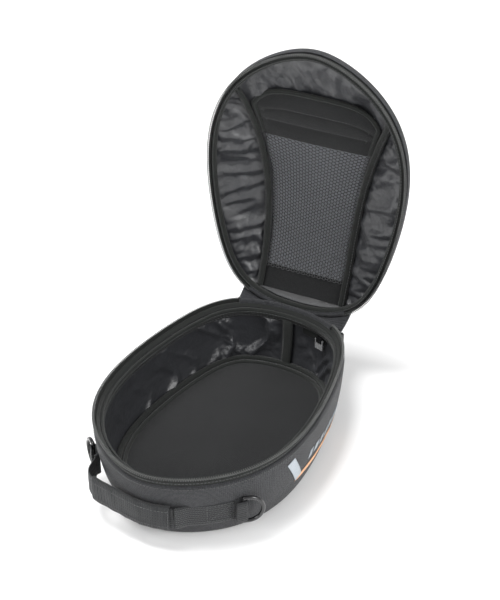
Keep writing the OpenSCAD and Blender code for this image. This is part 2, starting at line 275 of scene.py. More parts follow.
def sweep(name, centres, outs, profile, closed=False, width=0.02):
    """Carries a closed profile of (out, up) points along centres; outs are its outward directions."""
    count = len(centres)
    m = len(profile)
    verts = []
    for i, (centre, out) in enumerate(zip(centres, outs)):
        nxt = centres[(i + 1) % count] if closed or i < count - 1 else centre
        back = centres[i - 1] if closed or i > 0 else centre
        along = (nxt - back).normalized()
        up = along.cross(out).normalized()
        flat = up.cross(along).normalized()
        verts += [centre + flat * a + up * b for a, b in profile]
    faces = []
    for i in range(count if closed else count - 1):
        n = (i + 1) % count
        for j in range(m):
            k = (j + 1) % m
            faces.append((i * m + j, i * m + k, n * m + k, n * m + j))
    if not closed:
        faces.append(tuple(range(m - 1, -1, -1)))
        faces.append(tuple((count - 1) * m + j for j in range(m)))
    ob = new_object(name, verts, faces)
    layer = ob.data.uv_layers.new(name="Cloth")
    length = sum((b - a).length for a, b in zip(centres, centres[1:]))
    for face in ob.data.polygons:
        if face.index >= (count if closed else count - 1) * m:
            continue
        i, j = divmod(face.index, m)
        corners = ((i, j), (i, j + 1), (i + 1, j + 1), (i + 1, j))
        for loop, (a, b) in zip(face.loop_indices, corners):
            layer.data[loop].uv = (a / count * length, b / m * width)
    return ob


def oval(out, up, sides=10, power=1.0):
    """An oval profile; a power below 1 squares it."""
    spots = []
    for i in range(sides):
        c, s = math.cos(2 * math.pi * i / sides), math.sin(2 * math.pi * i / sides)
        spots.append((out * math.copysign(abs(c) ** power, c), up * math.copysign(abs(s) ** power, s)))
    return spots


def run_of(line):
    """Distance along a line of points."""
    return sum((b - a).length for a, b in zip(line, line[1:]))


def cut_size(ob, along):
    """Greatest width and length, and area, of a cloth grid with this many quads along it."""
    spots = [vertex.co for vertex in ob.data.vertices]
    row = along + 1
    widths = [run_of(spots[j::row]) for j in range(row)]
    lengths = [run_of(spots[i:i + row]) for i in range(0, len(spots), row)]
    return {"flat": (max(widths), max(lengths)), "area": sum(face.area for face in ob.data.polygons)}


def thicken(ob, thickness, offset=-1.0):
    mod = ob.modifiers.new("Thickness", "SOLIDIFY")
    mod.thickness = thickness
    mod.offset = offset
    mod.use_even_offset = True
    mod.use_quality_normals = True
    return ob


def soften(ob, levels=1):
    mod = ob.modifiers.new("Soft", "SUBSURF")
    mod.levels = levels
    mod.render_levels = levels
    return ob


def shade_smooth(ob):
    for face in ob.data.polygons:
        face.use_smooth = True


def facing_out(ob):
    """Turns every face outwards."""
    bm = bmesh.new()
    bm.from_mesh(ob.data)
    bmesh.ops.recalc_face_normals(bm, faces=bm.faces)
    bm.to_mesh(ob.data)
    bm.free()


def dress(ob, material, body, slot, *nodes):
    """Gives a finished piece its material and body, and hides the CAD nodes that it stands for. The slot is
    not used.
    """
    ob.data.materials.clear()
    ob.data.materials.append(material)
    shade_smooth(ob)
    if body:
        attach(ob, body)
    if nodes:
        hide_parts(*nodes)
    return ob


SHARP_EDGE = 35


def repaint(node, material):
    """Gives a carried-over CAD node its material, with its corners beyond SHARP_EDGE degrees kept sharp."""
    ob = frame["nodes"][node]
    ob.data.materials.clear()
    ob.data.materials.append(material)
    shade_smooth(ob)
    ob.data.set_sharp_from_angle(angle=math.radians(SHARP_EDGE))


def stitch_row(name, spots, outs, length, pitch=1.35, radius=0.32 * MM):
    """Separate stitches laid along a line of points, each a small spindle; pitch is in stitch lengths."""
    travel = [0.0]
    for a, b in zip(spots, spots[1:]):
        travel.append(travel[-1] + (b - a).length)
    verts, faces = [], []
    step = length * pitch
    count = max(int(travel[-1] / step), 1)
    seg = 0
    sides, rings = 6, ((-0.5, 0.35), (-0.3, 1.0), (0.3, 1.0), (0.5, 0.35))
    for n in range(count):
        d = (n + 0.5) * travel[-1] / count
        while seg < len(travel) - 2 and travel[seg + 1] < d:
            seg += 1
        k = (d - travel[seg]) / max(travel[seg + 1] - travel[seg], 1e-9)
        centre = spots[seg].lerp(spots[seg + 1], k)
        along = (spots[seg + 1] - spots[seg]).normalized()
        out = outs[seg].lerp(outs[seg + 1], k).normalized()
        across = along.cross(out).normalized()
        base = len(verts)
        for shift, fat in rings:
            sink = -0.6 * radius if fat < 1 else 0.0
            for s in range(sides):
                a = 2 * math.pi * s / sides
                verts.append(centre + along * shift * length + out * (radius * fat * math.sin(a) + sink)
                             + across * radius * fat * math.cos(a))
        for r in range(len(rings) - 1):
            for s in range(sides):
                t = (s + 1) % sides
                faces.append((base + r * sides + s, base + r * sides + t,
                              base + (r + 1) * sides + t, base + (r + 1) * sides + s))
        faces.append(tuple(base + s for s in range(sides - 1, -1, -1)))
        faces.append(tuple(base + (len(rings) - 1) * sides + s for s in range(sides)))
    return new_object(name, verts, faces)


def crumple(ob, held, growth, frames, cap, keep_side=None):
    """Lets a pinned sheet of slightly too much cloth settle into folds, and keeps the folds within cap.

    held(index) is how firmly a vertex is pinned, from 0 to 1, and keep_side(index, offset) may correct
    where a point has moved to.
    """
    rest = [v.co.copy() for v in ob.data.vertices]
    group = ob.vertex_groups.new(name="held")
    for i in range(len(rest)):
        group.add([i], held(i), "REPLACE")
    mod = ob.modifiers.new("Settle", "CLOTH")
    cloth = mod.settings
    cloth.quality = 5
    cloth.mass = 0.15
    cloth.tension_stiffness = 12
    cloth.compression_stiffness = 12
    cloth.shear_stiffness = 6
    cloth.bending_stiffness = 0.25
    cloth.tension_damping = 8
    cloth.air_damping = 3
    cloth.shrink_min = -growth
    cloth.shrink_max = -growth
    cloth.vertex_group_mass = "held"
    cloth.effector_weights.gravity = 0.05
    mod.point_cache.frame_start = 1
    mod.point_cache.frame_end = frames
    scene = bpy.context.scene
    for f in range(1, frames + 1):
        scene.frame_set(f)
    evaluated = ob.evaluated_get(bpy.context.evaluated_depsgraph_get())
    settled = [v.co.copy() for v in evaluated.data.vertices]
    ob.modifiers.remove(mod)
    ob.vertex_groups.clear()
    scene.frame_set(1)
    for i, vertex in enumerate(ob.data.vertices):
        offset = settled[i] - rest[i]
        if offset.length > cap:
            offset *= cap / offset.length
        if keep_side:
            offset = keep_side(i, offset)
        vertex.co = rest[i] + offset
    ob.data.update()
    return ob


# ---- Shader node groups ----------------------------------------------------------------------


def start_group(name, inputs, outputs):
    group = bpy.data.node_groups.new(name, "ShaderNodeTree")
    for label, kind, default in inputs:
        socket = group.interface.new_socket(name=label, in_out="INPUT", socket_type=kind)
        if default is not None:
            socket.default_value = default
    for label, kind in outputs:
        group.interface.new_socket(name=label, in_out="OUTPUT", socket_type=kind)
    return group, group.nodes.new("NodeGroupInput"), group.nodes.new("NodeGroupOutput")


def calc(tree, operation, a, b=None, c=None):
    """A Math node; each operand is a socket or a number."""
    node = tree.nodes.new("ShaderNodeMath")
    node.operation = operation
    for i, value in enumerate((a, b, c)):
        if value is None:
            continue
        if isinstance(value, (int, float)):
            node.inputs[i].default_value = value
        else:
            tree.links.new(value, node.inputs[i])
    return node.outputs[0]


def noise_node(tree, vector, scale, detail=3.0, roughness=0.55):
    node = tree.nodes.new("ShaderNodeTexNoise")
    node.inputs["Scale"].default_value = scale
    node.inputs["Detail"].default_value = detail
    node.inputs["Roughness"].default_value = roughness
    tree.links.new(vector, node.inputs["Vector"])
    return node.outputs["Fac"]


def scaled(tree, vector, factor):
    node = tree.nodes.new("ShaderNodeVectorMath")
    node.operation = "MULTIPLY"
    node.inputs[1].default_value = factor
    tree.links.new(vector, node.inputs[0])
    return node.outputs[0]


def weave_group():
    """Over-and-under threads. Height is for bump, and some cloths also take painted shade from it; Thread
    picks lighter and darker threads.
    """
    group, start, end = start_group(
        "Woven threads",
        [("Vector", "NodeSocketVector", None), ("Pitch", "NodeSocketFloat", 0.0012),
         ("Slant", "NodeSocketFloat", 0.0)],
        [("Height", "NodeSocketFloat"), ("Thread", "NodeSocketFloat")])
    parts = group.nodes.new("ShaderNodeSeparateXYZ")
    group.links.new(start.outputs["Vector"], parts.inputs[0])
    x = calc(group, "DIVIDE", parts.outputs["X"], start.outputs["Pitch"])
    y = calc(group, "DIVIDE", parts.outputs["Y"], start.outputs["Pitch"])
    x = calc(group, "MULTIPLY_ADD", y, start.outputs["Slant"], x)
    cell = calc(group, "ADD", calc(group, "FLOOR", x), calc(group, "FLOOR", y))
    parity = calc(group, "PINGPONG", cell, 1.0)
    warp = calc(group, "ABSOLUTE", calc(group, "SINE", calc(group, "MULTIPLY", x, math.pi)))
    weft = calc(group, "ABSOLUTE", calc(group, "SINE", calc(group, "MULTIPLY", y, math.pi)))
    over = calc(group, "MULTIPLY", calc(group, "POWER", warp, 0.6), calc(group, "POWER", weft, 0.3))
    under = calc(group, "MULTIPLY", calc(group, "POWER", weft, 0.6), calc(group, "POWER", warp, 0.3))
    a = calc(group, "MULTIPLY", over, parity)
    b = calc(group, "MULTIPLY", under, calc(group, "SUBTRACT", 1.0, parity))
    group.links.new(calc(group, "ADD", a, b), end.inputs["Height"])
    pair = group.nodes.new("ShaderNodeCombineXYZ")
    group.links.new(calc(group, "FLOOR", x), pair.inputs[0])
    group.links.new(calc(group, "FLOOR", y), pair.inputs[1])
    tone = group.nodes.new("ShaderNodeTexWhiteNoise")
    tone.noise_dimensions = "2D"
    group.links.new(pair.outputs[0], tone.inputs["Vector"])
    group.links.new(tone.outputs["Value"], end.inputs["Thread"])
    return group


def rib_group():
    """Ribs across a tape or a strap, with fine twill between them."""
    group, start, end = start_group(
        "Ribbed tape",
        [("Vector", "NodeSocketVector", None), ("Pitch", "NodeSocketFloat", 0.0014)],
        [("Height", "NodeSocketFloat"), ("Thread", "NodeSocketFloat")])
    parts = group.nodes.new("ShaderNodeSeparateXYZ")
    group.links.new(start.outputs["Vector"], parts.inputs[0])
    x = calc(group, "DIVIDE", parts.outputs["X"], start.outputs["Pitch"])
    y = calc(group, "DIVIDE", parts.outputs["Y"], start.outputs["Pitch"])
    rib = calc(group, "ABSOLUTE", calc(group, "SINE", calc(group, "MULTIPLY", y, math.pi)))
    fold = calc(group, "PINGPONG", y, 1.0)
    slant = calc(group, "MULTIPLY_ADD", fold, 1.2, calc(group, "MULTIPLY", x, 1.6))
    twill = calc(group, "ABSOLUTE", calc(group, "SINE", calc(group, "MULTIPLY", slant, math.pi)))
    height = calc(group, "MULTIPLY_ADD", twill, 0.45, calc(group, "MULTIPLY", rib, 0.55))
    group.links.new(height, end.inputs["Height"])
    group.links.new(twill, end.inputs["Thread"])
    return group


def lint_group():
    """Fine dust and lint: sparse pale specks over broad, soft patches."""
    group, start, end = start_group(
        "Lint and dust",
        [("Vector", "NodeSocketVector", None), ("Amount", "NodeSocketFloat", 0.5)],
        [("Mask", "NodeSocketFloat")])
    fine = noise_node(group, start.outputs["Vector"], 420.0, 2.0)
    broad = noise_node(group, start.outputs["Vector"], 16.0, 3.0)
    specks = calc(group, "MULTIPLY", calc(group, "MAXIMUM", calc(group, "SUBTRACT", fine, 0.62), 0.0), 6.0)
    patches = calc(group, "MULTIPLY", calc(group, "MAXIMUM", calc(group, "SUBTRACT", broad, 0.42), 0.0), 1.6)
    specked = calc(group, "MULTIPLY", specks, patches)
    both = calc(group, "ADD", specked, calc(group, "MULTIPLY", patches, 0.35))
    mask = calc(group, "MULTIPLY", both, start.outputs["Amount"])
    group.links.new(calc(group, "MINIMUM", mask, 1.0), end.inputs["Mask"])
    return group


def crease_group():
    """Long soft creases and short sharp crinkles of thin coated cloth."""
    group, start, end = start_group(
        "Cloth creases",
        [("Vector", "NodeSocketVector", None)],
        [("Height", "NodeSocketFloat")])
    long_one = noise_node(group, scaled(group, start.outputs["Vector"], (1.0, 0.35, 1.0)), 38.0, 4.0, 0.6)
    swing = calc(group, "MULTIPLY_ADD", long_one, 4.0, -2.0)
    ridge = calc(group, "SUBTRACT", 1.0, calc(group, "ABSOLUTE", swing))
    short_one = noise_node(group, start.outputs["Vector"], 170.0, 3.0, 0.6)
    height = calc(group, "MULTIPLY_ADD", short_one, 0.25, calc(group, "MULTIPLY", ridge, 0.5))
    group.links.new(height, end.inputs["Height"])
    return group


def shared_group(name, make):
    return bpy.data.node_groups.get(name) or make()


def place_group(tree, name, make, **values):
    node = tree.nodes.new("ShaderNodeGroup")
    node.node_tree = shared_group(name, make)
    for label, value in values.items():
        socket = node.inputs[label]
        if isinstance(value, (int, float)):
            socket.default_value = value
        else:
            tree.links.new(value, socket)
    return node


# ---- Materials -------------------------------------------------------------------------------


def start_material(name, roughness, sheen=0.0, metallic=0.0, coat=0.0):
    material = bpy.data.materials.new(name)
    material.use_nodes = True
    tree = material.node_tree
    shader = tree.nodes["Principled BSDF"]
    shader.inputs["Roughness"].default_value = roughness
    shader.inputs["Metallic"].default_value = metallic
    shader.inputs["Sheen Weight"].default_value = sheen
    shader.inputs["Sheen Roughness"].default_value = 0.45
    shader.inputs["Coat Weight"].default_value = coat
    spots = tree.nodes.new("ShaderNodeTexCoord")
    return material, tree, shader, spots


def blend_colours(tree, factor, dark, light):
    node = tree.nodes.new("ShaderNodeMix")
    node.data_type = "RGBA"
    node.inputs["A"].default_value = (*dark, 1)
    node.inputs["B"].default_value = (*light, 1)
    tree.links.new(factor, node.inputs["Factor"])
    return node.outputs["Result"]


def add_bump(tree, shader, height, distance, strength=1.0):
    bump = tree.nodes.new("ShaderNodeBump")
    bump.inputs["Distance"].default_value = distance
    bump.inputs["Strength"].default_value = strength
    tree.links.new(height, bump.inputs["Height"])
    tree.links.new(bump.outputs["Normal"], shader.inputs["Normal"])


def lighter(colour, factor):
    return tuple(min(c * factor, 1.0) for c in colour)


def woven_cloth(name, colour, pitch, roughness=0.78, sheen=0.25, lint=0.5, bump=0.3 * MM, contrast=1.7):
    """Plain woven polyester: threads, colour variation from thread to thread, painted shade in the hollows
    between threads, lint and dust.
    """
    material, tree, shader, spots = start_material(name, roughness, sheen)
    weave = place_group(tree, "Woven threads", weave_group, Vector=spots.outputs["UV"], Pitch=pitch)
    dust = place_group(tree, "Lint and dust", lint_group, Vector=spots.outputs["Object"], Amount=lint)
    # Base colour: the threads' random tone and the dust are real; the Height term paints shade into the
    # hollows between threads and makes the crossings lighter.
    tone = calc(tree, "MULTIPLY_ADD", weave.outputs["Thread"], 0.45, calc(
        tree, "MULTIPLY", weave.outputs["Height"], 0.45))
    mixed = calc(tree, "MINIMUM", calc(tree, "ADD", tone, dust.outputs["Mask"]), 1.5)
    base = blend_colours(tree, mixed, lighter(colour, 0.72), lighter(colour, contrast))
    tree.links.new(base, shader.inputs["Base Color"])
    rough = calc(tree, "MULTIPLY_ADD", weave.outputs["Height"], -0.12, roughness + 0.06)
    tree.links.new(rough, shader.inputs["Roughness"])
    shader.inputs["Specular IOR Level"].default_value = 0.22
    add_bump(tree, shader, weave.outputs["Height"], bump)
    return material


def ribbed_tape(name, colour, pitch, roughness=0.72, sheen=0.2, bump=0.35 * MM, contrast=1.8):
    """Grosgrain, webbing and zip tape: ribs with twill between them, and painted shade in the hollows between
    the ribs.
    """
    material, tree, shader, spots = start_material(name, roughness, sheen)
    ribs = place_group(tree, "Ribbed tape", rib_group, Vector=spots.outputs["UV"], Pitch=pitch)
    dust = place_group(tree, "Lint and dust", lint_group, Vector=spots.outputs["Object"], Amount=0.5)
    # Base colour is lighter on the ribs' tops and darker between them, which is painted shade; the dust term
    # is real.
    tone = calc(tree, "MULTIPLY_ADD", ribs.outputs["Height"], 0.6, calc(
        tree, "MULTIPLY", dust.outputs["Mask"], 0.7))
    base = blend_colours(tree, tone, lighter(colour, 0.7), lighter(colour, contrast))
    tree.links.new(base, shader.inputs["Base Color"])
    rough = calc(tree, "MULTIPLY_ADD", ribs.outputs["Height"], -0.15, roughness + 0.08)
    tree.links.new(rough, shader.inputs["Roughness"])
    shader.inputs["Specular IOR Level"].default_value = 0.22
    add_bump(tree, shader, ribs.outputs["Height"], bump)
    return material


def lining_nylon(name, colour, crease=1.6 * MM):
    """Thin coated nylon: a satin gloss broken by creases, painted highlight on the creases' ridges with
    painted shade in their hollows, and a very fine plain weave.
    """
    material, tree, shader, spots = start_material(name, 0.34, 0.05)
    creases = place_group(tree, "Cloth creases", crease_group, Vector=spots.outputs["Object"])
    weave = place_group(tree, "Woven threads", weave_group, Vector=spots.outputs["UV"], Pitch=0.45 * MM)
    # Lighter colour on the crease ridges and darker in their hollows is painted highlight and shade of the
    # folds; the threads' random tone is real.
    tone = calc(tree, "MULTIPLY_ADD", creases.outputs["Height"], 0.7, calc(
        tree, "MULTIPLY", weave.outputs["Thread"], 0.2))
    base = blend_colours(tree, tone, lighter(colour, 0.7), lighter(colour, 1.6))
    tree.links.new(base, shader.inputs["Base Color"])
    rough = calc(tree, "MULTIPLY_ADD", creases.outputs["Height"], -0.10, 0.39)
    tree.links.new(rough, shader.inputs["Roughness"])
    shader.inputs["Specular IOR Level"].default_value = 0.85
    height = calc(tree, "MULTIPLY_ADD", weave.outputs["Height"], 0.03, creases.outputs["Height"])
    add_bump(tree, shader, height, crease, 0.8)
    return material


def outer_fabric():
    return bpy.data.materials.get("Outer fabric") or woven_cloth(
        "Outer fabric", bpy.context.scene.bag_colours.fabric, 1.9 * MM, 0.6, 0.12, 0.5, 0.7 * MM, 3.2)


def mat_fabric():
    return bpy.data.materials.get("Mat fabric") or woven_cloth(
        "Mat fabric", bpy.context.scene.bag_colours.mat, 1.0 * MM, 0.85, 0.12, 0.8, 0.3 * MM, 2.2)


def nylon():
    return bpy.data.materials.get("Lining nylon") or lining_nylon(
        "Lining nylon", bpy.context.scene.bag_colours.nylon)


def binding_tape():
    return bpy.data.materials.get("Binding tape") or ribbed_tape(
        "Binding tape", bpy.context.scene.bag_colours.binding, 1.5 * MM, 0.75, 0.15, 0.5 * MM, 2.6)


def zip_cloth():
    return bpy.data.materials.get("Zip tape") or ribbed_tape(
        "Zip tape", bpy.context.scene.bag_colours.binding, 1.6 * MM, 0.7, 0.12, 0.4 * MM, 2.2)


def strap_webbing():
    return bpy.data.materials.get("Strap webbing") or ribbed_tape(
        "Strap webbing", bpy.context.scene.bag_colours.webbing, 2.4 * MM, 0.6, 0.12, 0.9 * MM, 3.4)


def thread():
    """Sewing thread, slightly glossier and paler than the cloth."""
    made = bpy.data.materials.get("Thread")
    if made:
        return made
    material, tree, shader, spots = start_material("Thread", 0.5, 0.2)
    twist = noise_node(tree, scaled(tree, spots.outputs["Object"], (1, 1, 1)), 900.0, 2.0)
    base = blend_colours(tree, twist, (0.03, 0.032, 0.032), (0.085, 0.088, 0.09))
    tree.links.new(base, shader.inputs["Base Color"])
    add_bump(tree, shader, twist, 0.15 * MM)
    return material


def coil_nylon():
    """Glossy moulded filament of the zip's coil, dulled where it has been rubbed."""
    made = bpy.data.materials.get("Coil nylon")
    if made:
        return made
    material, tree, shader, spots = start_material("Coil nylon", 0.35, coat=0.2)
    rub = noise_node(tree, spots.outputs["Object"], 60.0, 3.0)
    base = blend_colours(tree, rub, (0.022, 0.023, 0.023), (0.11, 0.113, 0.11))
    tree.links.new(base, shader.inputs["Base Color"])
    tree.links.new(calc(tree, "MULTIPLY_ADD", rub, 0.3, 0.22), shader.inputs["Roughness"])
    return material


def black_metal():
    """Black enamelled wire and castings, worn a little paler on the high spots."""
    made = bpy.data.materials.get("Black enamel")
    if made:
        return made
    material, tree, shader, spots = start_material("Black enamel", 0.22, metallic=0.3, coat=0.6)
    shader.inputs["Coat Roughness"].default_value = 0.12
    wear = noise_node(tree, spots.outputs["Object"], 240.0, 5.0, 0.65)
    mask = calc(tree, "MULTIPLY", calc(tree, "MAXIMUM", calc(tree, "SUBTRACT", wear, 0.58), 0.0), 4.0)
    base = blend_colours(tree, mask, (0.008, 0.008, 0.009), (0.09, 0.09, 0.095))
    tree.links.new(base, shader.inputs["Base Color"])
    tree.links.new(calc(tree, "MULTIPLY_ADD", wear, 0.3, 0.1), shader.inputs["Roughness"])
    add_bump(tree, shader, wear, 0.05 * MM, 0.5)
    return material


def bright_metal():
    """Plated steel of the small zip's pull, with fine brushing."""
    made = bpy.data.materials.get("Bright plate")
    if made:
        return made
    material, tree, shader, spots = start_material("Bright plate", 0.3, metallic=0.75)
    brush = noise_node(tree, scaled(tree, spots.outputs["Object"], (1, 1, 0.08)), 900.0, 3.0)
    base = blend_colours(tree, brush, (0.75, 0.76, 0.77), (0.95, 0.96, 0.97))
    tree.links.new(base, shader.inputs["Base Color"])
    tree.links.new(calc(tree, "MULTIPLY_ADD", brush, 0.25, 0.15), shader.inputs["Roughness"])
    return material


def grip_rubber():
    """Ribbed rubber sheet of the underside."""
    made = bpy.data.materials.get("Grip rubber")
    if made:
        return made
    material, tree, shader, spots = start_material("Grip rubber", 0.8)
    weave = place_group(tree, "Woven threads", weave_group, Vector=spots.outputs["Object"], Pitch=3 * MM)
    dust = place_group(tree, "Lint and dust", lint_group, Vector=spots.outputs["Object"], Amount=1.0)
    base = blend_colours(tree, dust.outputs["Mask"], (0.02, 0.02, 0.021), (0.09, 0.088, 0.085))
    tree.links.new(base, shader.inputs["Base Color"])
    add_bump(tree, shader, weave.outputs["Height"], 0.8 * MM)
    return material


def printed_ink(name, colour):
    """Screen ink on the cloth: the weave shows through it as bump and as painted shade in the hollows between
    threads, and it is thin in places.
    """
    made = bpy.data.materials.get(name)
    if made:
        return made
    material, tree, shader, spots = start_material(name, 0.55)
    weave = place_group(tree, "Woven threads", weave_group, Vector=spots.outputs["UV"], Pitch=1.9 * MM)
    thin = noise_node(tree, spots.outputs["Object"], 130.0, 4.0)
    # Thin ink is real; the weave's Height makes the hollows between threads darker, which is painted shade.
    tone = calc(tree, "MULTIPLY_ADD", thin, 0.5, calc(tree, "MULTIPLY", weave.outputs["Height"], 0.5))
    base = blend_colours(tree, tone, lighter(colour, 0.62), lighter(colour, 1.15))
    tree.links.new(base, shader.inputs["Base Color"])
    add_bump(tree, shader, weave.outputs["Height"], 0.25 * MM)
    return material


def mesh_backing_painted_shine():
    """Faintly glossy cloth seen through the holes of the mesh; its pale colour is painted highlight for the
    shine of the grey nylon behind the mesh.
    """
    made = bpy.data.materials.get("Mesh backing painted shine")
    if made:
        return made
    # Eight and a half times the mesh's colour: painted highlight standing in for the shine seen through the
    # holes.
    colour = lighter(bpy.context.scene.bag_colours.mesh, 8.5)
    return woven_cloth("Mesh backing painted shine", colour, 0.6 * MM, 0.5, 0.3, 0.6, 0.1 * MM, 1.5)


def mesh_yarn():
    """Round matt yarn of the pocket's open mesh."""
    made = bpy.data.materials.get("Mesh yarn")
    if made:
        return made
    colour = bpy.context.scene.bag_colours.mesh
    material, tree, shader, spots = start_material("Mesh yarn", 0.7, 0.3)
    fibre = noise_node(tree, spots.outputs["Object"], 1400.0, 2.0)
    broad = noise_node(tree, spots.outputs["Object"], 30.0, 2.0)
    tone = calc(tree, "MULTIPLY_ADD", fibre, 0.6, calc(tree, "MULTIPLY", broad, 0.4))
    base = blend_colours(tree, tone, lighter(colour, 0.6), lighter(colour, 1.5))
    tree.links.new(base, shader.inputs["Base Color"])
    add_bump(tree, shader, fibre, 0.1 * MM)
    return material


# ---- Tub --------------------------------------------------------------------------------------


def around(form, count, at):
    """Points and outward directions at count stations round the bag; at(t) gives each point."""
    turns = [360 * i / count for i in range(count)]
    return [at(t) for t in turns], [form.outward(t) for t in turns]


def path_point(path, v):
    """A point v of the way along a short list of (inset, z) pairs, by distance."""
    lengths = [math.dist(a, b) for a, b in zip(path, path[1:])]
    left = v * sum(lengths)
    for (a, b), length in zip(zip(path, path[1:]), lengths):
        if left <= length or b is path[-1]:
            k = min(left / length, 1.0)
            return mix(a[0], b[0], k), mix(a[1], b[1], k)
        left -= length


class BAG_OT_outer_wall(bpy.types.Operator):
    """Padded outer wall of the tub, with the stitching under its rim"""
    bl_idname = "bag.outer_wall"
    bl_label = "Outer wall"

    def execute(self, context):
        form = current_form()
        top = form.wall_top
        path = [(4.6 * MM, top - 9 * MM), (4.8 * MM, top - 1.5 * MM), (3.8 * MM, top), (1.2 * MM, top),
                (0.1 * MM, top - 1.2 * MM), (0, top - 16 * MM), (0, 42 * MM), (0, 20 * MM),
                (0.3 * MM, 6 * MM), (1.2 * MM, 2.6 * MM), (3.2 * MM, 0.9 * MM), (5.6 * MM, 0.5 * MM)]

        def point(u, v):
            t = 360 * u
            inset, z = path_point(path, v)
            p = form.wall(t, z, inset)
            if inset < 1 * MM:
                n = form.outward(t)
                belly = smooth(0, 0.3, z / top) * smooth(1.02, 0.7, z / top)
                dent = ripple(p.x * 26, p.y * 26, p.z * 30) * 1.1 * MM
                slack = ripple(p.x * 60, p.y * 60, p.z * 18 + 4) * 0.45 * MM
                pucker = 0.25 * MM * math.sin(t * 3.1) * smooth(0.86, 1.0, z / top)
                p += n * ((dent + slack) * belly + pucker)
            return p

        wall = cloth_grid("outer_wall", point, 200, 26, True, (form.girth(), 0.105))
        facing_out(wall)
        soften(thicken(wall, 0.9 * MM))
        dress(wall, outer_fabric(), "tub", "outer_fabric", "tub_shell")

        spots, outs = around(form, 240, lambda t: form.wall(t, top - 4 * MM, -0.4 * MM))
        stitch = context.scene.bag_sizes.stitch
        row = stitch_row("shoulder_stitches", spots + spots[:1], outs + outs[:1], stitch)
        dress(row, thread(), "tub", "outer_fabric")
        return {"FINISHED"}


class BAG_OT_lining(bpy.types.Operator):
    """Loose nylon lining inside the tub, with its rear seam tape"""
    bl_idname = "bag.lining"
    bl_label = "Tub lining"

    def execute(self, context):
        form = current_form()
        inner = form.wall_t + 1.6 * MM
        low, high = 9 * MM, 69 * MM
        across, along = 260, 22

        def gather(u, v):
            """How far the cloth stands off the wall: folds run up and down and fade at the seams."""
            t = 360 * u
            lean = u + 0.012 * math.sin(5 * v + 9 * u)
            fold = 1 - abs(2 * ripple(lean * 21, v * 0.5, 3.7))
            crease = 1 - abs(2.2 * ripple(lean * 46, v * 1.1, 5.2))
            bag = ripple(u * 11, v * 2.2, 9.1)
            seam = smooth(2.5, 11, abs(180 - t))
            zip_side = smooth(124, 132, t) * smooth(180, 172, t) * smooth(0.5, 0.75, v)
            slack = (0.9 + 0.25 * smooth(60, 150, abs(180 - abs(t - 180)))) * seam * (1 - zip_side)
            depth = max(0.0, 6.8 * fold ** 2 + 1.9 * crease + 3.0 * bag - 1.4)
            return depth * MM * wave(180 * v) ** 0.45 * slack

        def point(u, v):
            z = mix(low, high, v)
            return form.wall(360 * u, z, inner + gather(u, v))

        cloth = cloth_grid("tub_lining_cloth", point, across, along, True,
                           (form.girth() * 0.95, high - low))
        row = along + 1

        def held(i):
            turn = 360 * (i // row) / across
            near_seam = abs(180 - turn) < 5
            near_zip = 128 < turn < 175 and i % row > 0.7 * along
            return 1.0 if i % row in (0, along) or near_seam or near_zip else 0.0

        def keep_side(i, offset):
            """Stops the cloth from sinking into the wall behind it."""
            u, v = (i // row) / across, (i % row) / along
            out = offset.dot(form.outward(360 * u))
            room = gather(u, v)
            return offset - form.outward(360 * u) * (out - room) if out > room else offset

        crumple(cloth, held, 0.07, 24, 5 * MM, keep_side)
        thicken(cloth, 0.4 * MM, 1.0)
        soften(cloth)
        dress(cloth, nylon(), "tub", "nylon_lining", "tub_lining")
        form.girth()

        def facing_point(u, v):
            """A matt band from the rim down over the lining's gathered edge."""
            t = 360 * u
            z = mix(67 * MM + 0.8 * MM * ripple(u * 60, 0, 2), form.wall_top + 1.5 * MM, v)
            loose = ripple(u * 26, v * 1.2, 2.9)
            loose += 0.6 * ripple(u * 70, v * 2, 7)
            return form.wall(t, z, inner + (1.6 + 1.5 * loose * wave(180 * v) + 1.2 * (1 - v) ** 3) * MM)

        facing = cloth_grid("rim_facing", facing_point, 240, 10, True, (form.girth() * 0.95, 0.02))
        cut = cut_size(facing, 10)
        thicken(facing, 0.7 * MM, 1.0)
        soften(facing)
        dress(facing, mat_fabric(), "tub", "floor_fabric")
        spots, outs = around(form, 240, lambda t: form.wall(t, 69.5 * MM, inner + 3.5 * MM))
        inward = [-n for n in outs]
        stitch = context.scene.bag_sizes.stitch
        row = stitch_row("facing_stitches", spots + spots[:1], inward + inward[:1], stitch)
        dress(row, thread(), "tub", "floor_fabric")

        def tape_point(u, v):
            t = 180 + mix(-2.6, 2.6, u)
            z = mix(10 * MM, form.wall_top - 8 * MM, v)
            return form.wall(t, z, inner + 3.6 * MM + 0.5 * MM * wave(180 * u))

        tape = cloth_grid("rear_seam", tape_point, 4, 16, False, (0.009, 0.07))
        thicken(tape, 0.8 * MM)
        dress(tape, binding_tape(), "tub", "binding", "rear_seam_tape")
        return {"FINISHED"}


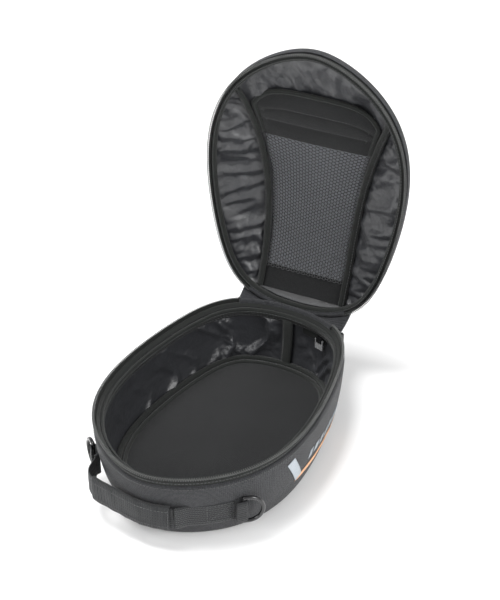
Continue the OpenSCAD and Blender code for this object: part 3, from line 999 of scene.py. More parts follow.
class BAG_OT_floor(bpy.types.Operator):
    """Floor mat, its bound edge, the board and the underside"""
    bl_idname = "bag.floor"
    bl_label = "Floor"

    def execute(self, context):
        form = current_form()
        top = 9 * MM

        def point(u, v):
            p = form.wall(360 * u, 5.4 * MM, form.wall_t + 3.5 * MM)
            centre = Vector((0, form.foot_back, 0))
            q = centre.lerp(Vector((p.x, p.y, 0)), v)
            q.z = top + 0.9 * MM * (1 - v ** 4) + 0.5 * MM * ripple(q.x * 22, q.y * 22, 3)
            q.z -= 2.2 * MM * smooth(0.955, 1.0, v)
            return q

        mat = cloth_grid("floor_pad", point, 160, 26, True)
        layer = mat.data.uv_layers["Cloth"]
        for loop in mat.data.loops:
            co = mat.data.vertices[loop.vertex_index].co
            layer.data[loop.index].uv = (co.x, co.y)
        thicken(mat, 3 * MM)
        dress(mat, mat_fabric(), "tub", "floor_fabric", "floor_mat")

        def swell(t, phase):
            return 0.35 * MM * ripple(t * 0.09, phase, 0.5)

        for name, inset, z, out, up in (
                ("floor_binding_outer", 4.6 * MM, 13.2 * MM, 3.3 * MM, 3.4 * MM),
                ("floor_binding_inner", 10.2 * MM, 11.6 * MM, 2.9 * MM, 2.8 * MM)):
            spots, outs = around(
                form, 200, lambda t: form.wall(t, z, form.wall_t + inset + swell(t, inset * 900)))
            tube = sweep(name, spots, outs, oval(out, up, 12, 0.85), True, 0.018)
            dress(tube, binding_tape(), "tub", "binding")
            if name.endswith("outer"):
                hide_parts("floor_piping")
        spots, outs = around(form, 240, lambda t: form.wall(t, 14.1 * MM, form.wall_t + 10.2 * MM))
        ups = [Vector((0, 0, 1)) for _ in outs]
        row = stitch_row("floor_stitches", spots + spots[:1], ups + ups[:1], context.scene.bag_sizes.stitch)
        dress(row, thread(), "tub", "binding")
        repaint("base_board", grip_rubber())
        repaint("underside_pad", grip_rubber())
        return {"FINISHED"}


def coil(name, form, z, inset, start, stop, radius, pitch):
    """A zip's coil: one filament wound along the tape's edge between two outline angles."""
    steps = 400
    turns = [mix(start, stop, i / steps) for i in range(steps + 1)]
    travel = [0.0]
    for a, b in zip(turns, turns[1:]):
        travel.append(travel[-1] + (form.egg(b) - form.egg(a)).length)
    loops = int(travel[-1] / pitch)
    per_turn = 7
    spots, outs, seg = [], [], 0
    for n in range(loops * per_turn + 1):
        d = travel[-1] * n / (loops * per_turn)
        while seg < steps - 1 and travel[seg + 1] < d:
            seg += 1
        k = (d - travel[seg]) / (travel[seg + 1] - travel[seg])
        t = mix(turns[seg], turns[seg + 1], k)
        a = 2 * math.pi * n / per_turn
        out = form.outward(t)
        spots.append(form.rim(t, inset - radius * math.cos(a), z + radius * 0.8 * math.sin(a)))
        outs.append((out * math.cos(a) + Vector((0, 0, math.sin(a)))).normalized())
    return sweep(name, spots, outs, oval(0.5 * MM, 0.5 * MM, 5), False, 0.002)


class BAG_OT_tub_zip(bpy.types.Operator):
    """Lower half of the main zip and the rim binding"""
    bl_idname = "bag.tub_zip"
    bl_label = "Tub zip and rim"

    def execute(self, context):
        form = current_form()
        end = form.ZIP_END
        stitch = context.scene.bag_sizes.stitch

        def tape_point(u, v):
            t = mix(-end, end, u)
            z = mix(form.wall_top - 3 * MM, form.height - 0.2 * MM, v)
            lean = 0.35 * MM * ripple(t * 0.16, 2.0, 0.0)
            return form.rim(t, 1.7 * MM + 1.1 * MM * (1 - v) ** 3 + lean, z)

        tape = cloth_grid("zip_tape_lower", tape_point, 220, 6, False, (form.girth() * 0.84, 0.012))
        facing_out(tape)
        thicken(tape, 0.8 * MM)
        dress(tape, zip_cloth(), "tub", "zip_tape", "tub_zip_tape")
        teeth = coil("zip_coil_lower", form, form.height - 1.2 * MM, 0.7 * MM, -end, end, 1.3 * MM, 2.3 * MM)
        dress(teeth, coil_nylon(), "tub", "zip_coil", "tub_zip_coil")

        inset = form.wall_t + 4.0 * MM

        def bound(t):
            p = form.wall(t, form.wall_top - 4 * MM, inset + 0.6 * MM * ripple(t * 0.07, 0, 0))
            p.z += 0.9 * MM * ripple(t * 0.11, 3, 0)
            return p

        spots, outs = around(form, 220, bound)
        rim = sweep("rim_binding_lower", spots, outs, oval(2.1 * MM, 4.0 * MM, 12, 0.8), True, 0.02)
        dress(rim, binding_tape(), "tub", "binding", "tub_rim_binding")
        spots, outs = around(form, 240, lambda t: form.wall(t, form.wall_top - 4.2 * MM, inset + 2.1 * MM))
        inward = [-n for n in outs]
        row = stitch_row("rim_stitches_lower", spots + spots[:1], inward + inward[:1], stitch)
        dress(row, thread(), "tub", "binding")

        def inner_tape(u, v):
            """The tape's turned edge, sewn down behind the wall."""
            t = 360 * u
            return form.rim(t, mix(3.0 * MM, form.wall_t + 2.4 * MM, v),
                            mix(form.wall_top + 4 * MM, form.wall_top - 1 * MM, v ** 1.5)
                            + 0.5 * MM * ripple(t * 0.13, v * 2, 5))

        turned = cloth_grid("zip_tape_turned", inner_tape, 220, 6, True, (form.girth(), 0.008))
        thicken(turned, 0.7 * MM, 0.0)
        dress(turned, zip_cloth(), "tub", "zip_tape")
        turns = [mix(-end, end, i / 200) for i in range(201)]
        spots = [form.rim(t, 1.1 * MM, form.wall_top + 2.6 * MM) for t in turns]
        row = stitch_row("tape_stitches_lower", spots, [form.outward(t) for t in turns], stitch)
        dress(row, thread(), "tub", "zip_tape")
        return {"FINISHED"}


class BAG_OT_hinge(bpy.types.Operator):
    """Fabric hinge drawn across the gap between the tub and the open lid, and the zip's end tabs"""
    bl_idname = "bag.hinge"
    bl_label = "Hinge"

    def execute(self, context):
        form = current_form()
        first = form.ZIP_END - 4

        def point(u, v):
            """v runs up the tub's outer wall, across the gap and up the lid's rim band."""
            t = mix(first, 360 - first, u)
            low = form.wall(t, form.wall_top - 12 * MM, -0.9 * MM)
            corner = form.wall(t, form.wall_top - 4 * MM, -1.1 * MM)
            near = form.open_lid @ form.rim(t, -0.9 * MM, form.lid_foot + 6 * MM)
            far = form.open_lid @ form.rim(t, -0.9 * MM, form.band_z + 5.5 * MM)
            if v < 0.3:
                return low.lerp(corner, v / 0.3)
            if v > 0.7:
                return near.lerp(far, (v - 0.7) / 0.3)
            k = (v - 0.3) / 0.4
            p = corner.lerp(near, k)
            p.z -= 2.2 * MM * wave(180 * k)
            return p

        cloth = cloth_grid("hinge_cloth", point, 36, 20, False, (0.12, 0.04))
        cut = cut_size(cloth, 20)
        thicken(cloth, 0.9 * MM, 0.0)
        dress(cloth, outer_fabric(), None, "outer_fabric", "hinge_fabric")
        mod = cloth.modifiers["Thickness"]
        context.view_layer.objects.active = cloth
        with context.temp_override(object=cloth, active_object=cloth):
            bpy.ops.object.modifier_apply(modifier=mod.name)
        rear = form.wall(180, form.wall_top - 4 * MM, -1.1 * MM)
        near = form.open_lid @ form.rim(180, -0.9 * MM, form.lid_foot + 6 * MM)
        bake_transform(cloth)

        def cap_point(u, v):
            t = mix(form.ZIP_END - 1, 361 - form.ZIP_END, u)
            a = 180 * v
            return form.rim(t, 2.2 * MM - 2.2 * MM * wave(90 - a),
                            form.wall_top - 1 * MM + (form.height - form.wall_top) * wave(a) ** 0.5)

        cap = cloth_grid("rear_rim", cap_point, 36, 12, False, (0.12, 0.014))
        thicken(cap, 0.8 * MM)
        dress(cap, outer_fabric(), "tub", "outer_fabric")
        for side, node in ((-1, "zip_end_left"), (1, "zip_end_right")):
            def tab_point(u, v, side=side):
                t = side * mix(form.ZIP_END + 1, form.ZIP_END + 7, u)
                return form.wall(t, mix(form.wall_top - 12 * MM, form.wall_top + 2 * MM, v),
                                 -(1.2 + 1.3 * wave(180 * u) * wave(180 * v)) * MM)
            tab = cloth_grid("zip_end_tab_" + hand(side), tab_point, 8, 10, False,
                             (0.01, 0.014))
            thicken(tab, 1.2 * MM, 0.0)
            soften(tab)
            dress(tab, binding_tape(), "tub", "binding", node)
        return {"FINISHED"}


# ---- Lid ----------------------------------------------------------------------------------------


def lid_side(form, ob, material, slot, *nodes):
    """Swings a piece drawn on the closed lid to its open rest place, and lets it ride there."""
    ob.data.transform(form.open_lid)
    return dress(ob, material, "lid", slot, *nodes)


class BAG_OT_lid_shell(bpy.types.Operator):
    """Padded outer panels of the lid, with the seams between them"""
    bl_idname = "bag.lid_shell"
    bl_label = "Lid shell"

    def execute(self, context):
        form = current_form()
        stitch = context.scene.bag_sizes.stitch

        def panel_point(u, v):
            s, l = mix(-1.0, 1.0, u), mix(0.001, 0.999, v)
            p = form.strip(l, s)
            edge = (1 - s ** 8) * wave(180 * l) ** 0.3 if 0 < l < 1 else 0
            p.z += (1.4 + 1.0 * ripple(p.x * 18, p.y * 18, 7)) * MM * edge
            return p

        panel = cloth_grid("lid_outer_panel", panel_point, 28, 70, False, (0.15, 0.34))
        facing_out(panel)
        soften(thicken(panel, 2.2 * MM))
        lid_side(form, panel, outer_fabric(), "outer_fabric", "lid_panel")

        for side, node in ((-1, "lid_gusset_left"), (1, "lid_gusset_right")):
            def gusset_point(u, v, side=side):
                p = form.gusset(side, mix(0.001, 0.999, v), u)
                p.z += 1.2 * MM * ripple(p.x * 30, p.y * 24, 2) * wave(180 * u) * wave(180 * v)
                return p
            name = "lid_outer_gusset_" + hand(side)
            sheet = cloth_grid(name, gusset_point, 14, 60, False, (0.06, 0.25))
            cut = cut_size(sheet, 60)
            soften(thicken(sheet, 1.4 * MM, -1.0 if side < 0 else 1.0))
            lid_side(form, sheet, outer_fabric(), "outer_fabric", node)

            steps = 70
            spots = [form.strip(mix(0.01, 0.99, i / steps), side) + Vector((0, 0, 1.0 * MM))
                     for i in range(steps + 1)]
            outs = [Vector((side, 0, 1)).normalized()] * (steps + 1)
            cord = sweep("lid_piping_" + hand(side), spots, outs,
                         oval(1.7 * MM, 1.7 * MM, 10), False, 0.01)
            lid_side(form, cord, binding_tape(), "binding")
            spots = [form.strip(mix(0.02, 0.98, i / steps), side * 0.95) + Vector((0, 0, 1.9 * MM))
                     for i in range(steps + 1)]
            ups = [Vector((0, 0, 1))] * (steps + 1)
            row = stitch_row("lid_seam_stitches_" + hand(side), spots, ups, stitch)
            lid_side(form, row, thread(), "outer_fabric")
        return {"FINISHED"}


class BAG_OT_lid_rim(bpy.types.Operator):
    """Rim band, upper half of the main zip and bound edge of the lid"""
    bl_idname = "bag.lid_rim"
    bl_label = "Lid rim"

    def execute(self, context):
        form = current_form()
        end = form.ZIP_END
        stitch = context.scene.bag_sizes.stitch

        def band_point(u, v):
            t = 360 * u
            z = mix(form.band_z - 1.5 * MM, form.seam_z + 1.5 * MM, v)
            inset = 0.3 * MM - 0.9 * MM * wave(180 * v) ** 0.5 + 2.2 * MM * smooth(0.75, 1.0, v)
            return form.rim(t, inset, z)

        band = cloth_grid("lid_band", band_point, 200, 8, True, (form.girth(), 0.01))
        facing_out(band)
        cut = cut_size(band, 8)
        soften(thicken(band, 1.6 * MM))
        lid_side(form, band, outer_fabric(), "outer_fabric", "lid_rim_band")

        def tape_point(u, v):
            t = mix(-end, end, u)
            z = mix(form.lid_foot + 0.2 * MM, form.band_z + 2 * MM, v)
            return form.rim(t, 1.7 * MM + 1.1 * MM * v ** 3, z)

        tape = cloth_grid("zip_tape_upper", tape_point, 220, 6, False, (form.girth() * 0.84, 0.012))
        facing_out(tape)
        thicken(tape, 0.8 * MM)
        lid_side(form, tape, zip_cloth(), "zip_tape", "lid_zip_tape")
        height = form.lid_foot + 1.2 * MM
        teeth = coil("zip_coil_upper", form, height, 0.7 * MM, -end, end, 1.3 * MM, 2.3 * MM)
        lid_side(form, teeth, coil_nylon(), "zip_coil", "lid_zip_coil")

        z = form.band_z - 3 * MM
        inset = 5.6 * MM
        spots, outs = around(form, 220, lambda t: form.rim(
            t, inset + 0.5 * MM * ripple(t * 0.08, 9, 0), z))
        rim = sweep("rim_binding_upper", spots, outs, oval(2.5 * MM, 3.6 * MM, 12, 0.8), True, 0.02)
        lid_side(form, rim, binding_tape(), "binding", "lid_rim_binding")
        low = form.rim(0, inset, z - 3.6 * MM).z
        for name, at, height in (("rim_stitches_upper", inset, low),
                                 ("tape_stitches_upper", 3.2 * MM, z + 0.5 * MM)):
            spots, outs = around(form, 240, lambda t: form.rim(t, at, height))
            downs = [Vector((0, 0, -1))] * len(outs) if name.startswith("rim") else [-n for n in outs]
            row = stitch_row(name, spots + spots[:1], downs + downs[:1], stitch)
            lid_side(form, row, thread(), "binding")

        def cap_point(u, v):
            t = mix(end - 1, 361 - end, u)
            a = 180 * v
            return form.rim(t, 2.2 * MM - 2.2 * MM * wave(90 - a),
                            form.band_z + 1 * MM - (form.band_z - form.lid_foot) * wave(a) ** 0.5)

        cap = cloth_grid("lid_rear_rim", cap_point, 36, 12, False, (0.12, 0.014))
        thicken(cap, 0.8 * MM)
        lid_side(form, cap, outer_fabric(), "outer_fabric")
        return {"FINISHED"}


class BAG_OT_lid_lining(bpy.types.Operator):
    """Loose nylon linings of the lid and the bound seams between them"""
    bl_idname = "bag.lid_lining"
    bl_label = "Lid lining"

    def execute(self, context):
        form = current_form()
        stitch = context.scene.bag_sizes.stitch
        below = form.PANEL + 0.6 * MM

        def centre_point(u, v):
            s, l = mix(-0.99, 0.99, u), mix(0.005, 0.995, v)
            loose = wave(180 * u) ** 0.5 * smooth(0.0, 0.08, l) * smooth(1.0, 0.93, l)
            lean = u + 0.5 * v
            fold = 1 - abs(2 * ripple(lean * 9, v * 6, 4.4))
            crease = 1 - abs(2 * ripple(lean * 20, v * 14, 8.8))
            upper = smooth(0.7, 0.9, l)
            slack = max(0.0, 4.2 * fold ** 2 + 1.8 * crease - 0.8) * MM
            return form.strip(l, s, below + slack * loose * (0.12 + 0.88 * upper))

        across, along = 34, 90
        cloth = cloth_grid("lid_lining_middle", centre_point, across, along, False, (0.15, 0.34))
        row = along + 1

        def held_middle(i):
            return 1.0 if i % row in (0, along) or i // row in (0, across) or i % row < 0.7 * along else 0.0

        crumple(cloth, held_middle, 0.05, 22, 5 * MM,
                lambda i, offset: Vector((offset.x, offset.y, min(offset.z, 0.4 * MM))))
        cut = cut_size(cloth, along)
        thicken(cloth, 0.4 * MM, 0.0)
        soften(cloth)
        lid_side(form, cloth, nylon(), "nylon_lining", "lid_lining_centre")

        for side, node in ((-1, "lid_lining_left"), (1, "lid_lining_right")):
            def side_point(u, v, side=side):
                m = mix(0.004, 0.996, v)
                lean = v + (0.02 if side < 0 else 0.16) * u
                fold = 1 - abs(2 * ripple(u * 0.7 + side, lean * 16 + 3, 1.3))
                crease = 1 - abs(2 * ripple(u * 1.4, lean * 37 + side * 5, 6.1))
                depth = max(0.0, 4.4 * fold ** 2 + 1.8 * crease - 0.6)
                slack = depth * MM * wave(180 * u) ** 0.6 * wave(180 * v) ** 0.5
                p = form.gusset(side, m, mix(0.0, 0.99, u), form.GUSSET + 0.6 * MM + slack * 0.8)
                p.x -= side * slack * 0.5
                return p
            name = "lid_lining_" + ("port" if side < 0 else "starboard")
            rows, columns = 90, 16
            sheet = cloth_grid(name, side_point, columns, rows, False, (0.06, 0.25))

            def held_side(i):
                return 1.0 if i % (rows + 1) in (0, rows) or i // (rows + 1) in (0, columns) else 0.0

            crumple(sheet, held_side, 0.06, 22, 5 * MM,
                    lambda i, offset: Vector((offset.x, offset.y, min(offset.z, 0.4 * MM))))
            cut = cut_size(sheet, rows)
            thicken(sheet, 0.4 * MM, 0.0)
            soften(sheet)
            lid_side(form, sheet, nylon(), "nylon_lining", node)
            behind = "lid_outer_gusset_" + hand(side)

        for side, node in ((-1, "lid_binding_left"), (1, "lid_binding_right")):
            steps = 90
            ls = [mix(0.012, 0.985, i / steps) for i in range(steps + 1)]
            spots = [form.strip(l, side * 0.97, form.PANEL + 3.6 * MM)
                     + Vector((0.5 * MM * ripple(l * 16, side, 0), 0,
                               0.6 * MM * ripple(l * 21, 0, side))) for l in ls]
            outs = [Vector((side * 0.5, 0, -1)).normalized()] * (steps + 1)
            tube = sweep("seam_binding_" + hand(side), spots, outs,
                         oval(2.9 * MM, 4.3 * MM, 12, 0.8), False, 0.02)
            soften(tube)
            lid_side(form, tube, binding_tape(), "binding", node)
            for offset, tag in ((-2.2 * MM, "a"), (2.2 * MM, "b")):
                line = [p + Vector((side * offset, 0, -2.8 * MM)) for p in spots]
                name = "seam_stitches_" + ("left_" if side < 0 else "right_") + tag
                row = stitch_row(name, line, outs, stitch)
                lid_side(form, row, thread(), "binding")
        return {"FINISHED"}


# ---- Mesh pocket ----------------------------------------------------------------------------------

MESH_FROM, MESH_TO, FLAT_FROM = 0.1, 0.73, 0.87
POCKET_HALF = 0.9
POCKET_BELOW = 7.9 * MM


def taut(form, l, s, below=0.0):
    """A point of the pocket's face: l runs along its side seams, s across it is -1 to 1. It sags a little."""
    seam = form.strip(l, POCKET_HALF)
    sag = 2.5 * MM * wave(180 * min(max((l - 0.05) / 0.85, 0), 1)) * (1 - s * s)
    height = form.strip(min(l, FLAT_FROM), POCKET_HALF).z
    return Vector((seam.x * s, seam.y, height - POCKET_BELOW - sag - below))


def mouth(s):
    """Where the pocket's mouth lies at s across it: it drops at its rounded corners."""
    return 0.955 - 0.085 * s ** 4


class BAG_OT_pocket(bpy.types.Operator):
    """Mesh pocket of the lid with its plain foot, its hem with sewn channels and its bound mouth"""
    bl_idname = "bag.pocket"
    bl_label = "Mesh pocket"

    def execute(self, context):
        form = current_form()
        sizes = context.scene.bag_sizes
        self.weave_mesh(form, sizes.mesh_pitch)

        def backing_point(u, v):
            p = taut(form, mix(MESH_FROM - 0.01, MESH_TO + 0.01, v), mix(-1, 1, u), -2.4 * MM)
            p.z += 0.7 * MM * ripple(p.x * 30, p.y * 30, 6)
            return p

        backing = cloth_grid("mesh_backing", backing_point, 20, 40, False, (0.11, 0.16))
        cut = cut_size(backing, 40)
        thicken(backing, 0.3 * MM)
        lid_side(form, backing, mesh_backing_painted_shine(), "mesh")

        def foot_point(u, v):
            p = taut(form, mix(0.015, MESH_FROM + 0.012, v), mix(-1.02, 1.02, u), -0.8 * MM)
            p.z -= 0.6 * MM * ripple(p.x * 40, p.y * 40, 1)
            return p

        foot = cloth_grid("pocket_foot", foot_point, 24, 12, False, (0.1, 0.035))
        cut = cut_size(foot, 12)
        thicken(foot, 0.7 * MM)
        soften(foot)
        lid_side(form, foot, mat_fabric(), "floor_fabric")

        channels = (0.0, 0.34, 0.64, 1.0)

        def hem_point(u, v):
            s = mix(-1, 1, u)
            l = mix(MESH_TO - 0.006, mix(mouth(s), 0.955, smooth(0.75, 0.3, v)), v)
            puff = 0.0
            for low, high in zip(channels, channels[1:]):
                if low <= v <= high:
                    puff = wave(180 * (v - low) / (high - low)) ** 0.6
            p = taut(form, l, s, 1.8 * MM * puff * smooth(1.0, 0.85, abs(s)))
            p.z -= 0.6 * MM * ripple(p.x * 45, p.y * 45, 1) * puff
            return p

        hem = cloth_grid("pocket_hem_cloth", hem_point, 40, 36, False, (0.13, 0.08))
        cut = cut_size(hem, 36)
        thicken(hem, 0.8 * MM)
        soften(hem)
        lid_side(form, hem, mat_fabric(), "floor_fabric", "pocket_hem")
        for n, share in enumerate(channels[1:3]):
            spots = [taut(form, mix(MESH_TO, 0.955, share), mix(-0.86, 0.86, i / 40), 0.6 * MM)
                     for i in range(41)]
            row = stitch_row("hem_stitches_" + "ab"[n], spots, [Vector((0, 0, -1))] * 41, sizes.stitch)
            lid_side(form, row, thread(), "floor_fabric")
        for side, tag in ((-1, "left"), (1, "right")):
            spots = [taut(form, mix(MESH_TO, 0.93, i / 20), side * 0.86, 0.7 * MM) for i in range(21)]
            row = stitch_row("hem_end_" + tag, spots, [Vector((0, 0, -1))] * 21, sizes.stitch)
            lid_side(form, row, thread(), "floor_fabric")

        line = [mix(-1, 1, i / 60) for i in range(61)]
        spots = [taut(form, mouth(s), s, 0.6 * MM) for s in line]
        for at in (-1, 1):
            edge = [taut(form, mix(mouth(1), MESH_TO, k / 8), at * 0.995, 0.6 * MM) for k in range(1, 9)]
            spots = edge[::-1] + spots if at < 0 else spots + edge
        outs = [Vector((0, 0, -1))] * len(spots)
        lip = sweep("pocket_mouth", spots, outs, oval(1.8 * MM, 3.0 * MM, 10, 0.8), False, 0.014)
        soften(lip)
        lid_side(form, lip, binding_tape(), "binding", "pocket_edging")
        return {"FINISHED"}

    def weave_mesh(self, form, pitch):
        """Open mesh as a net of six-sided cells, staggered row by row."""
        length = (taut(form, MESH_TO, 0) - taut(form, MESH_FROM, 0)).length
        width = 2 * taut(form, 0.45, 1).x
        rows = int(length / (pitch * 1.15))
        columns = int(width / (pitch * 0.9))
        bm = bmesh.new()
        found = {}

        def corner(x, y):
            key = (round(x * 12), round(y * 12))
            if key not in found:
                s = mix(-1, 1, min(max(x / columns, 0.0), 1.0))
                l = mix(MESH_FROM, MESH_TO, min(max(y / rows, 0.0), 1.0))
                found[key] = bm.verts.new(taut(form, l, s))
            return found[key]

        hexagon = ((-1 / 3, 0.5), (1 / 3, 0.5), (2 / 3, 0.0), (1 / 3, -0.5), (-1 / 3, -0.5), (-2 / 3, 0.0))
        for i in range(columns):
            for j in range(rows):
                y = j + (0.5 if i % 2 else 0.0) + 0.25
                ring = [corner(i + 0.5 + dx, y + dy) for dx, dy in hexagon]
                if len(set(ring)) == len(ring):
                    bm.faces.new(ring)
        mesh = bpy.data.meshes.new("mesh_net")
        bm.to_mesh(mesh)
        bm.free()
        net = bpy.data.objects.new("mesh_net", mesh)
        bpy.context.scene.collection.objects.link(net)
        mod = net.modifiers.new("Yarn", "WIREFRAME")
        mod.thickness = 1.25 * MM
        mod.use_relative_offset = False
        mod.use_even_offset = False
        lid_side(form, net, mesh_yarn(), "mesh", "mesh_pocket")


# ---- Handle, rings and print -----------------------------------------------------------------------

HANDLE_FROM, HANDLE_TO, RING_AT = -46, 22, 53
SLEEVE = (0.18, 0.97)


class Handle:
    """The handle's line round the front: u is 0 at its left sewn end and 1 at its right one."""

    def __init__(self, form):
        self.form = form
        self.z = (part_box("handle_patch_left")[0].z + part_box("handle_patch_left")[1].z) / 2

    def spot(self, u):
        """A point of the middle line, and the way out from the wall there. The slack lies on the left."""
        t = mix(HANDLE_FROM, HANDLE_TO, u)
        off = 6.5 * MM + 12 * MM * max(wave(180 * u ** 0.35), 0.0) ** 6
        return self.form.wall(t, self.z, -off), self.form.outward(t)

    def face(self, u, v, height, out):
        """A point v of the way up the strap's face, lying out beyond its middle line."""
        p, n = self.spot(u)
        return p + n * out + Vector((0, 0, (v - 0.5) * height))


class BAG_OT_handle(bpy.types.Operator):
    """Webbing handle with its sewn sleeve and the patches that hold it"""
    bl_idname = "bag.handle"
    bl_label = "Handle"

    def execute(self, context):
        form = current_form()
        handle = Handle(form)
        wide = context.scene.bag_sizes.webbing
        stitch = context.scene.bag_sizes.stitch

        def strap_point(u, v):
            curl = 0.6 * MM * ripple(u * 7, v * 2, 0)
            return handle.face(mix(0.0, 1.0, u), v, wide, curl)

        strap = cloth_grid("handle_webbing", strap_point, 90, 8, False, (0.2, wide))
        thicken(strap, 1.8 * MM, 0.0)
        soften(strap)
        dress(strap, strap_webbing(), "handle", "webbing", "handle_strap")

        def sleeve_ring(u, a):
            k = mix(SLEEVE[0], SLEEVE[1], u)
            c, s = math.cos(a), math.sin(a)
            height = (wide + 5 * MM) / 2 * math.copysign(abs(s) ** 0.75, s)
            out = 2.9 * MM * math.copysign(abs(c) ** 0.6, c)
            worn = 0.7 * MM * ripple(u * 11, c, s)
            p, n = handle.spot(k)
            return p + n * (out + worn) + Vector((0, 0, height))

        sleeve = cloth_grid(
            "handle_sleeve_cloth", lambda u, v: sleeve_ring(v, -2 * math.pi * u), 28, 70, True, (0.062, 0.15))
        thicken(sleeve, 0.9 * MM)
        facing_out(sleeve)
        dress(sleeve, strap_webbing(), "handle", "webbing", "handle_sleeve")
        for tag, v in (("low", 0.12), ("high", 0.88)):
            us = [mix(SLEEVE[0] + 0.01, SLEEVE[1] - 0.01, i / 60) for i in range(61)]
            spots = [handle.face(u, v, wide, 3.0 * MM) for u in us]
            outs = [handle.spot(u)[1] for u in us]
            dress(stitch_row("sleeve_stitches_" + tag, spots, outs, stitch), thread(), "handle", "webbing")
        for tag, u in (("left", SLEEVE[0] + 0.012), ("right", SLEEVE[1] - 0.012)):
            spots = [handle.face(u, mix(0.0, 1.0, i / 20), wide, 3.2 * MM) for i in range(21)]
            outs = [handle.spot(u)[1]] * 21
            dress(stitch_row("sleeve_end_" + tag, spots, outs, stitch), thread(), "handle", "webbing")

        for side, tag in ((-1, "left"), (1, "right")):
            self.anchor(form, handle, side, tag, wide, stitch)
        return {"FINISHED"}

    def anchor(self, form, handle, side, tag, wide, stitch):
        """The webbing sewn to the wall between handle and ring; only the right one gets a crossed box of
        stitches.
        """
        first = (HANDLE_FROM if side < 0 else HANDLE_TO) + 0.4 * side
        last = (RING_AT - 2) * side

        def bridge_point(u, v):
            """From the free handle's end down onto the wall, then along it to the ring's loop."""
            t = mix(first, last, u)
            off = mix(6.5 * MM, 1.5 * MM, smooth(0.0, 0.3, u))
            q = form.wall(t, handle.z, -off)
            q.z = handle.z + (v - 0.5) * wide
            return q

        patch = cloth_grid("handle_anchor_" + tag, bridge_point, 26, 8, False, (0.035, wide))
        thicken(patch, 1.8 * MM, 0.0)
        dress(patch, strap_webbing(), "tub", "webbing", "handle_patch_" + tag)
        if side < 0:
            return
        corners = [(0.55, 0.12), (0.93, 0.12), (0.93, 0.88), (0.55, 0.88), (0.55, 0.12), (0.93, 0.88)]
        spots = []
        for (ua, va), (ub, vb) in zip(corners, corners[1:]):
            for i in range(12):
                u, v = mix(ua, ub, i / 12), mix(va, vb, i / 12)
                spots.append(bridge_point(u, v) + form.outward(mix(first, last, u)) * 1.3 * MM)
        outs = [form.outward(first)] * len(spots)
        dress(stitch_row("anchor_stitches_" + tag, spots, outs, stitch), thread(), "tub", "webbing")


class BAG_OT_rings(bpy.types.Operator):
    """Webbing loops round the D-rings' bars, and the rings' enamel"""
    bl_idname = "bag.rings"
    bl_label = "D-rings"

    def execute(self, context):
        form = current_form()
        wide = context.scene.bag_sizes.webbing
        for side, tag in ((-1, "left"), (1, "right")):
            joint = JOINTS[tag + "_ring_swing"]
            bar = Vector(joint["pos_m"])
            n = form.outward(side * RING_AT)
            along = Vector((-n.y, n.x, 0)) * side

            def loop_point(u, v, bar=bar, n=n, along=along):
                """Out along the wall, round the bar and back to the wall."""
                r = 2.9 * MM
                reach = 9 * MM
                if u < 0.36:
                    k = u / 0.36
                    p = bar - along * reach * (1 - k) + n * (r - 0.9 * MM * (1 - k))
                elif u < 0.64:
                    a = math.pi * (u - 0.36) / 0.28
                    p = bar + n * r * math.cos(a) + along * r * math.sin(a)
                else:
                    k = (u - 0.64) / 0.36
                    p = bar - n * r - along * reach * k
                return p + Vector((0, 0, (v - 0.5) * (wide - 1 * MM)))

            loop = cloth_grid("ring_loop_cloth_" + tag, loop_point, 44, 6, False, (0.028, wide))
            thicken(loop, 1.4 * MM, 0.0)
            dress(loop, strap_webbing(), "tub", "webbing", "ring_loop_" + tag)
            repaint("d_ring_" + tag, black_metal())
        return {"FINISHED"}


class BAG_OT_print(bpy.types.Operator):
    """Plain bars and a tapering stripe printed on the right-hand wall"""
    bl_idname = "bag.print"
    bl_label = "Side print"

    def execute(self, context):
        form = current_form()

        def patch(name, corners, material):
            """Ink between four (outline angle, height) corners, laid close over the wall."""
            (ta, za), (tb, zb), (tc, zc), (td, zd) = corners

            def point(u, v):
                t = mix(mix(ta, tb, u), mix(td, tc, u), v)
                z = mix(mix(za, zb, u), mix(zd, zc, u), v)
                p = form.wall(t, z, 0)
                belly = smooth(0, 0.3, z / form.wall_top) * smooth(1.02, 0.7, z / form.wall_top)
                dent = ripple(p.x * 26, p.y * 26, p.z * 30) * 1.1 * MM
                slack = ripple(p.x * 60, p.y * 60, p.z * 18 + 4) * 0.45 * MM
                return p + form.outward(t) * ((dent + slack) * belly + 0.45 * MM)

            ob = cloth_grid(name, point, 24, 6, False, (0.06, 0.012))
            thicken(ob, 0.25 * MM, 0.0)
            return dress(ob, material, "tub", "print")

        grey = printed_ink("Grey ink", context.scene.bag_colours.ink_grey)
        warm = printed_ink("Warm ink", context.scene.bag_colours.ink)
        stripe = patch("print_stripe", [(78, 30 * MM), (119, 21 * MM), (119, 28 * MM), (80, 36 * MM)], warm)
        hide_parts("side_print")
        patch("print_block", [(73, 64 * MM), (78.5, 30 * MM), (81.5, 35 * MM), (77, 67 * MM)], grey)
        for n in range(7):
            low = 85.5 + 4.2 * n
            lean = 1.6
            patch("print_bar_%d" % (n + 1), [
                (low, 44 * MM - n * 0.9 * MM), (low + 2.6, 43.4 * MM - n * 0.9 * MM),
                (low + 2.6 + lean, 51.6 * MM - n * 0.9 * MM), (low + lean, 52.2 * MM - n * 0.9 * MM)], grey)
        return {"FINISHED"}


class BAG_OT_small_metal(bpy.types.Operator):
    """Sliders and pulls of both zips, and the small zip's tape"""
    bl_idname = "bag.small_metal"
    bl_label = "Sliders and pulls"

    def execute(self, context):
        for node in ("zip_slider_left", "zip_slider_right", "zip_pull_left", "zip_pull_right",
                     "pocket_slider"):
            repaint(node, black_metal())
        repaint("pocket_pull", bright_metal())
        repaint("pocket_zip_tape", zip_cloth())
        return {"FINISHED"}


# ---- Stage ------------------------------------------------------------------------------------------


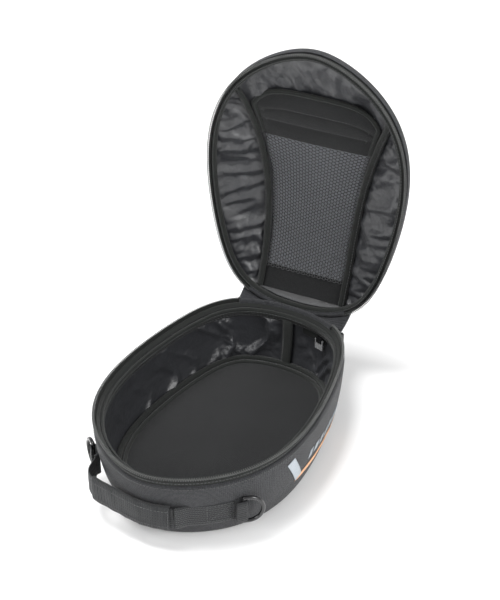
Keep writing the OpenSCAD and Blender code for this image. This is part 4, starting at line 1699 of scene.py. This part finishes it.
class BAG_OT_stage(bpy.types.Operator):
    """Pale floor, soft lights and the camera"""
    bl_idname = "bag.stage"
    bl_label = "Stage"

    def execute(self, context):
        scene = context.scene
        floor = new_object("floor", [(-4, -4, 0), (4, -4, 0), (4, 4, 0), (-4, 4, 0)], [(0, 1, 2, 3)])
        paper = bpy.data.materials.new("Studio paper")
        paper.use_nodes = True
        paper.node_tree.nodes["Principled BSDF"].inputs["Base Color"].default_value = (0.93, 0.93, 0.93, 1)
        paper.node_tree.nodes["Principled BSDF"].inputs["Roughness"].default_value = 0.9
        floor.data.materials.append(paper)

        world = bpy.data.worlds.new("Studio")
        world.use_nodes = True
        world.node_tree.nodes["Background"].inputs["Color"].default_value = (1, 1, 1, 1)
        world.node_tree.nodes["Background"].inputs["Strength"].default_value = 0.62
        scene.world = world
        scene.view_settings.view_transform = "Standard"

        middle = Vector((0, 0.02, 0.12))
        self.lamp("key", middle + Vector((-0.5, -0.1, 1.9)), middle, 0.9, 46)
        self.lamp("side", middle + Vector((1.7, -0.3, 0.9)), middle, 0.8, 22)
        self.lamp("front", middle + Vector((-0.6, -1.9, 1.2)), middle, 1.0, 16)
        self.camera(scene)
        return {"FINISHED"}

    def lamp(self, name, place, target, size, power):
        light = bpy.data.lights.new(name, "AREA")
        light.shape = "SQUARE"
        light.size = size
        light.energy = power
        ob = bpy.data.objects.new(name, light)
        ob.location = place
        ob.rotation_euler = (place - target).to_track_quat("Z", "Y").to_euler()
        bpy.context.scene.collection.objects.link(ob)

    def camera(self, scene):
        """The view from above the right front corner, square to the frame, with no shift."""
        azimuth, elevation, distance = math.radians(29.46), math.radians(37.32), 1.4
        aim_right, aim_up = 0.0305, 0.0832
        back = Vector((math.sin(azimuth) * math.cos(elevation), -math.cos(azimuth) * math.cos(elevation),
                       math.sin(elevation)))
        right = Vector((math.cos(azimuth), math.sin(azimuth), 0))
        up = back.cross(right)
        rim_centre = Vector((0, 0, current_form().height))
        place = rim_centre + back * distance
        aim = rim_centre + right * aim_right + up * aim_up
        data = bpy.data.cameras.new("camera")
        data.sensor_width = 36
        data.lens = 82.1
        ob = bpy.data.objects.new("camera", data)
        ob.location = place
        ob.rotation_euler = (place - aim).to_track_quat("Z", "Y").to_euler()
        scene.collection.objects.link(ob)
        scene.camera = ob


# ---- Panel and registration ----------------------------------------------------------------------------

STEPS = (BAG_OT_outer_wall, BAG_OT_lining, BAG_OT_floor, BAG_OT_tub_zip, BAG_OT_hinge, BAG_OT_lid_shell,
         BAG_OT_lid_rim, BAG_OT_lid_lining, BAG_OT_pocket, BAG_OT_handle, BAG_OT_rings, BAG_OT_print,
         BAG_OT_small_metal, BAG_OT_stage)


class BAG_PT_panel(bpy.types.Panel):
    """Lists the bag's sizes, colours and sewing steps"""
    bl_label = "Soft bag"
    bl_idname = "BAG_PT_panel"
    bl_space_type = "VIEW_3D"
    bl_region_type = "UI"
    bl_category = "Bag"

    def draw(self, context):
        for group in (context.scene.bag_sizes, context.scene.bag_colours):
            box = self.layout.box()
            for name in group.__annotations__:
                box.prop(group, name)
        for step in STEPS:
            self.layout.operator(step.bl_idname)


CLASSES = (BagSizes, BagColours, *STEPS, BAG_PT_panel)


def register():
    for cls in CLASSES:
        bpy.utils.register_class(cls)
    bpy.types.Scene.bag_sizes = PointerProperty(type=BagSizes)
    bpy.types.Scene.bag_colours = PointerProperty(type=BagColours)


def unregister():
    del bpy.types.Scene.bag_colours
    del bpy.types.Scene.bag_sizes
    for cls in reversed(CLASSES):
        bpy.utils.unregister_class(cls)


def main():
    register()
    for step in STEPS:
        area, name = step.bl_idname.split(".")
        if getattr(getattr(bpy.ops, area), name)() != {"FINISHED"}:
            raise RuntimeError(step.bl_label + " was not made")


if __name__ == "__main__":
    main()
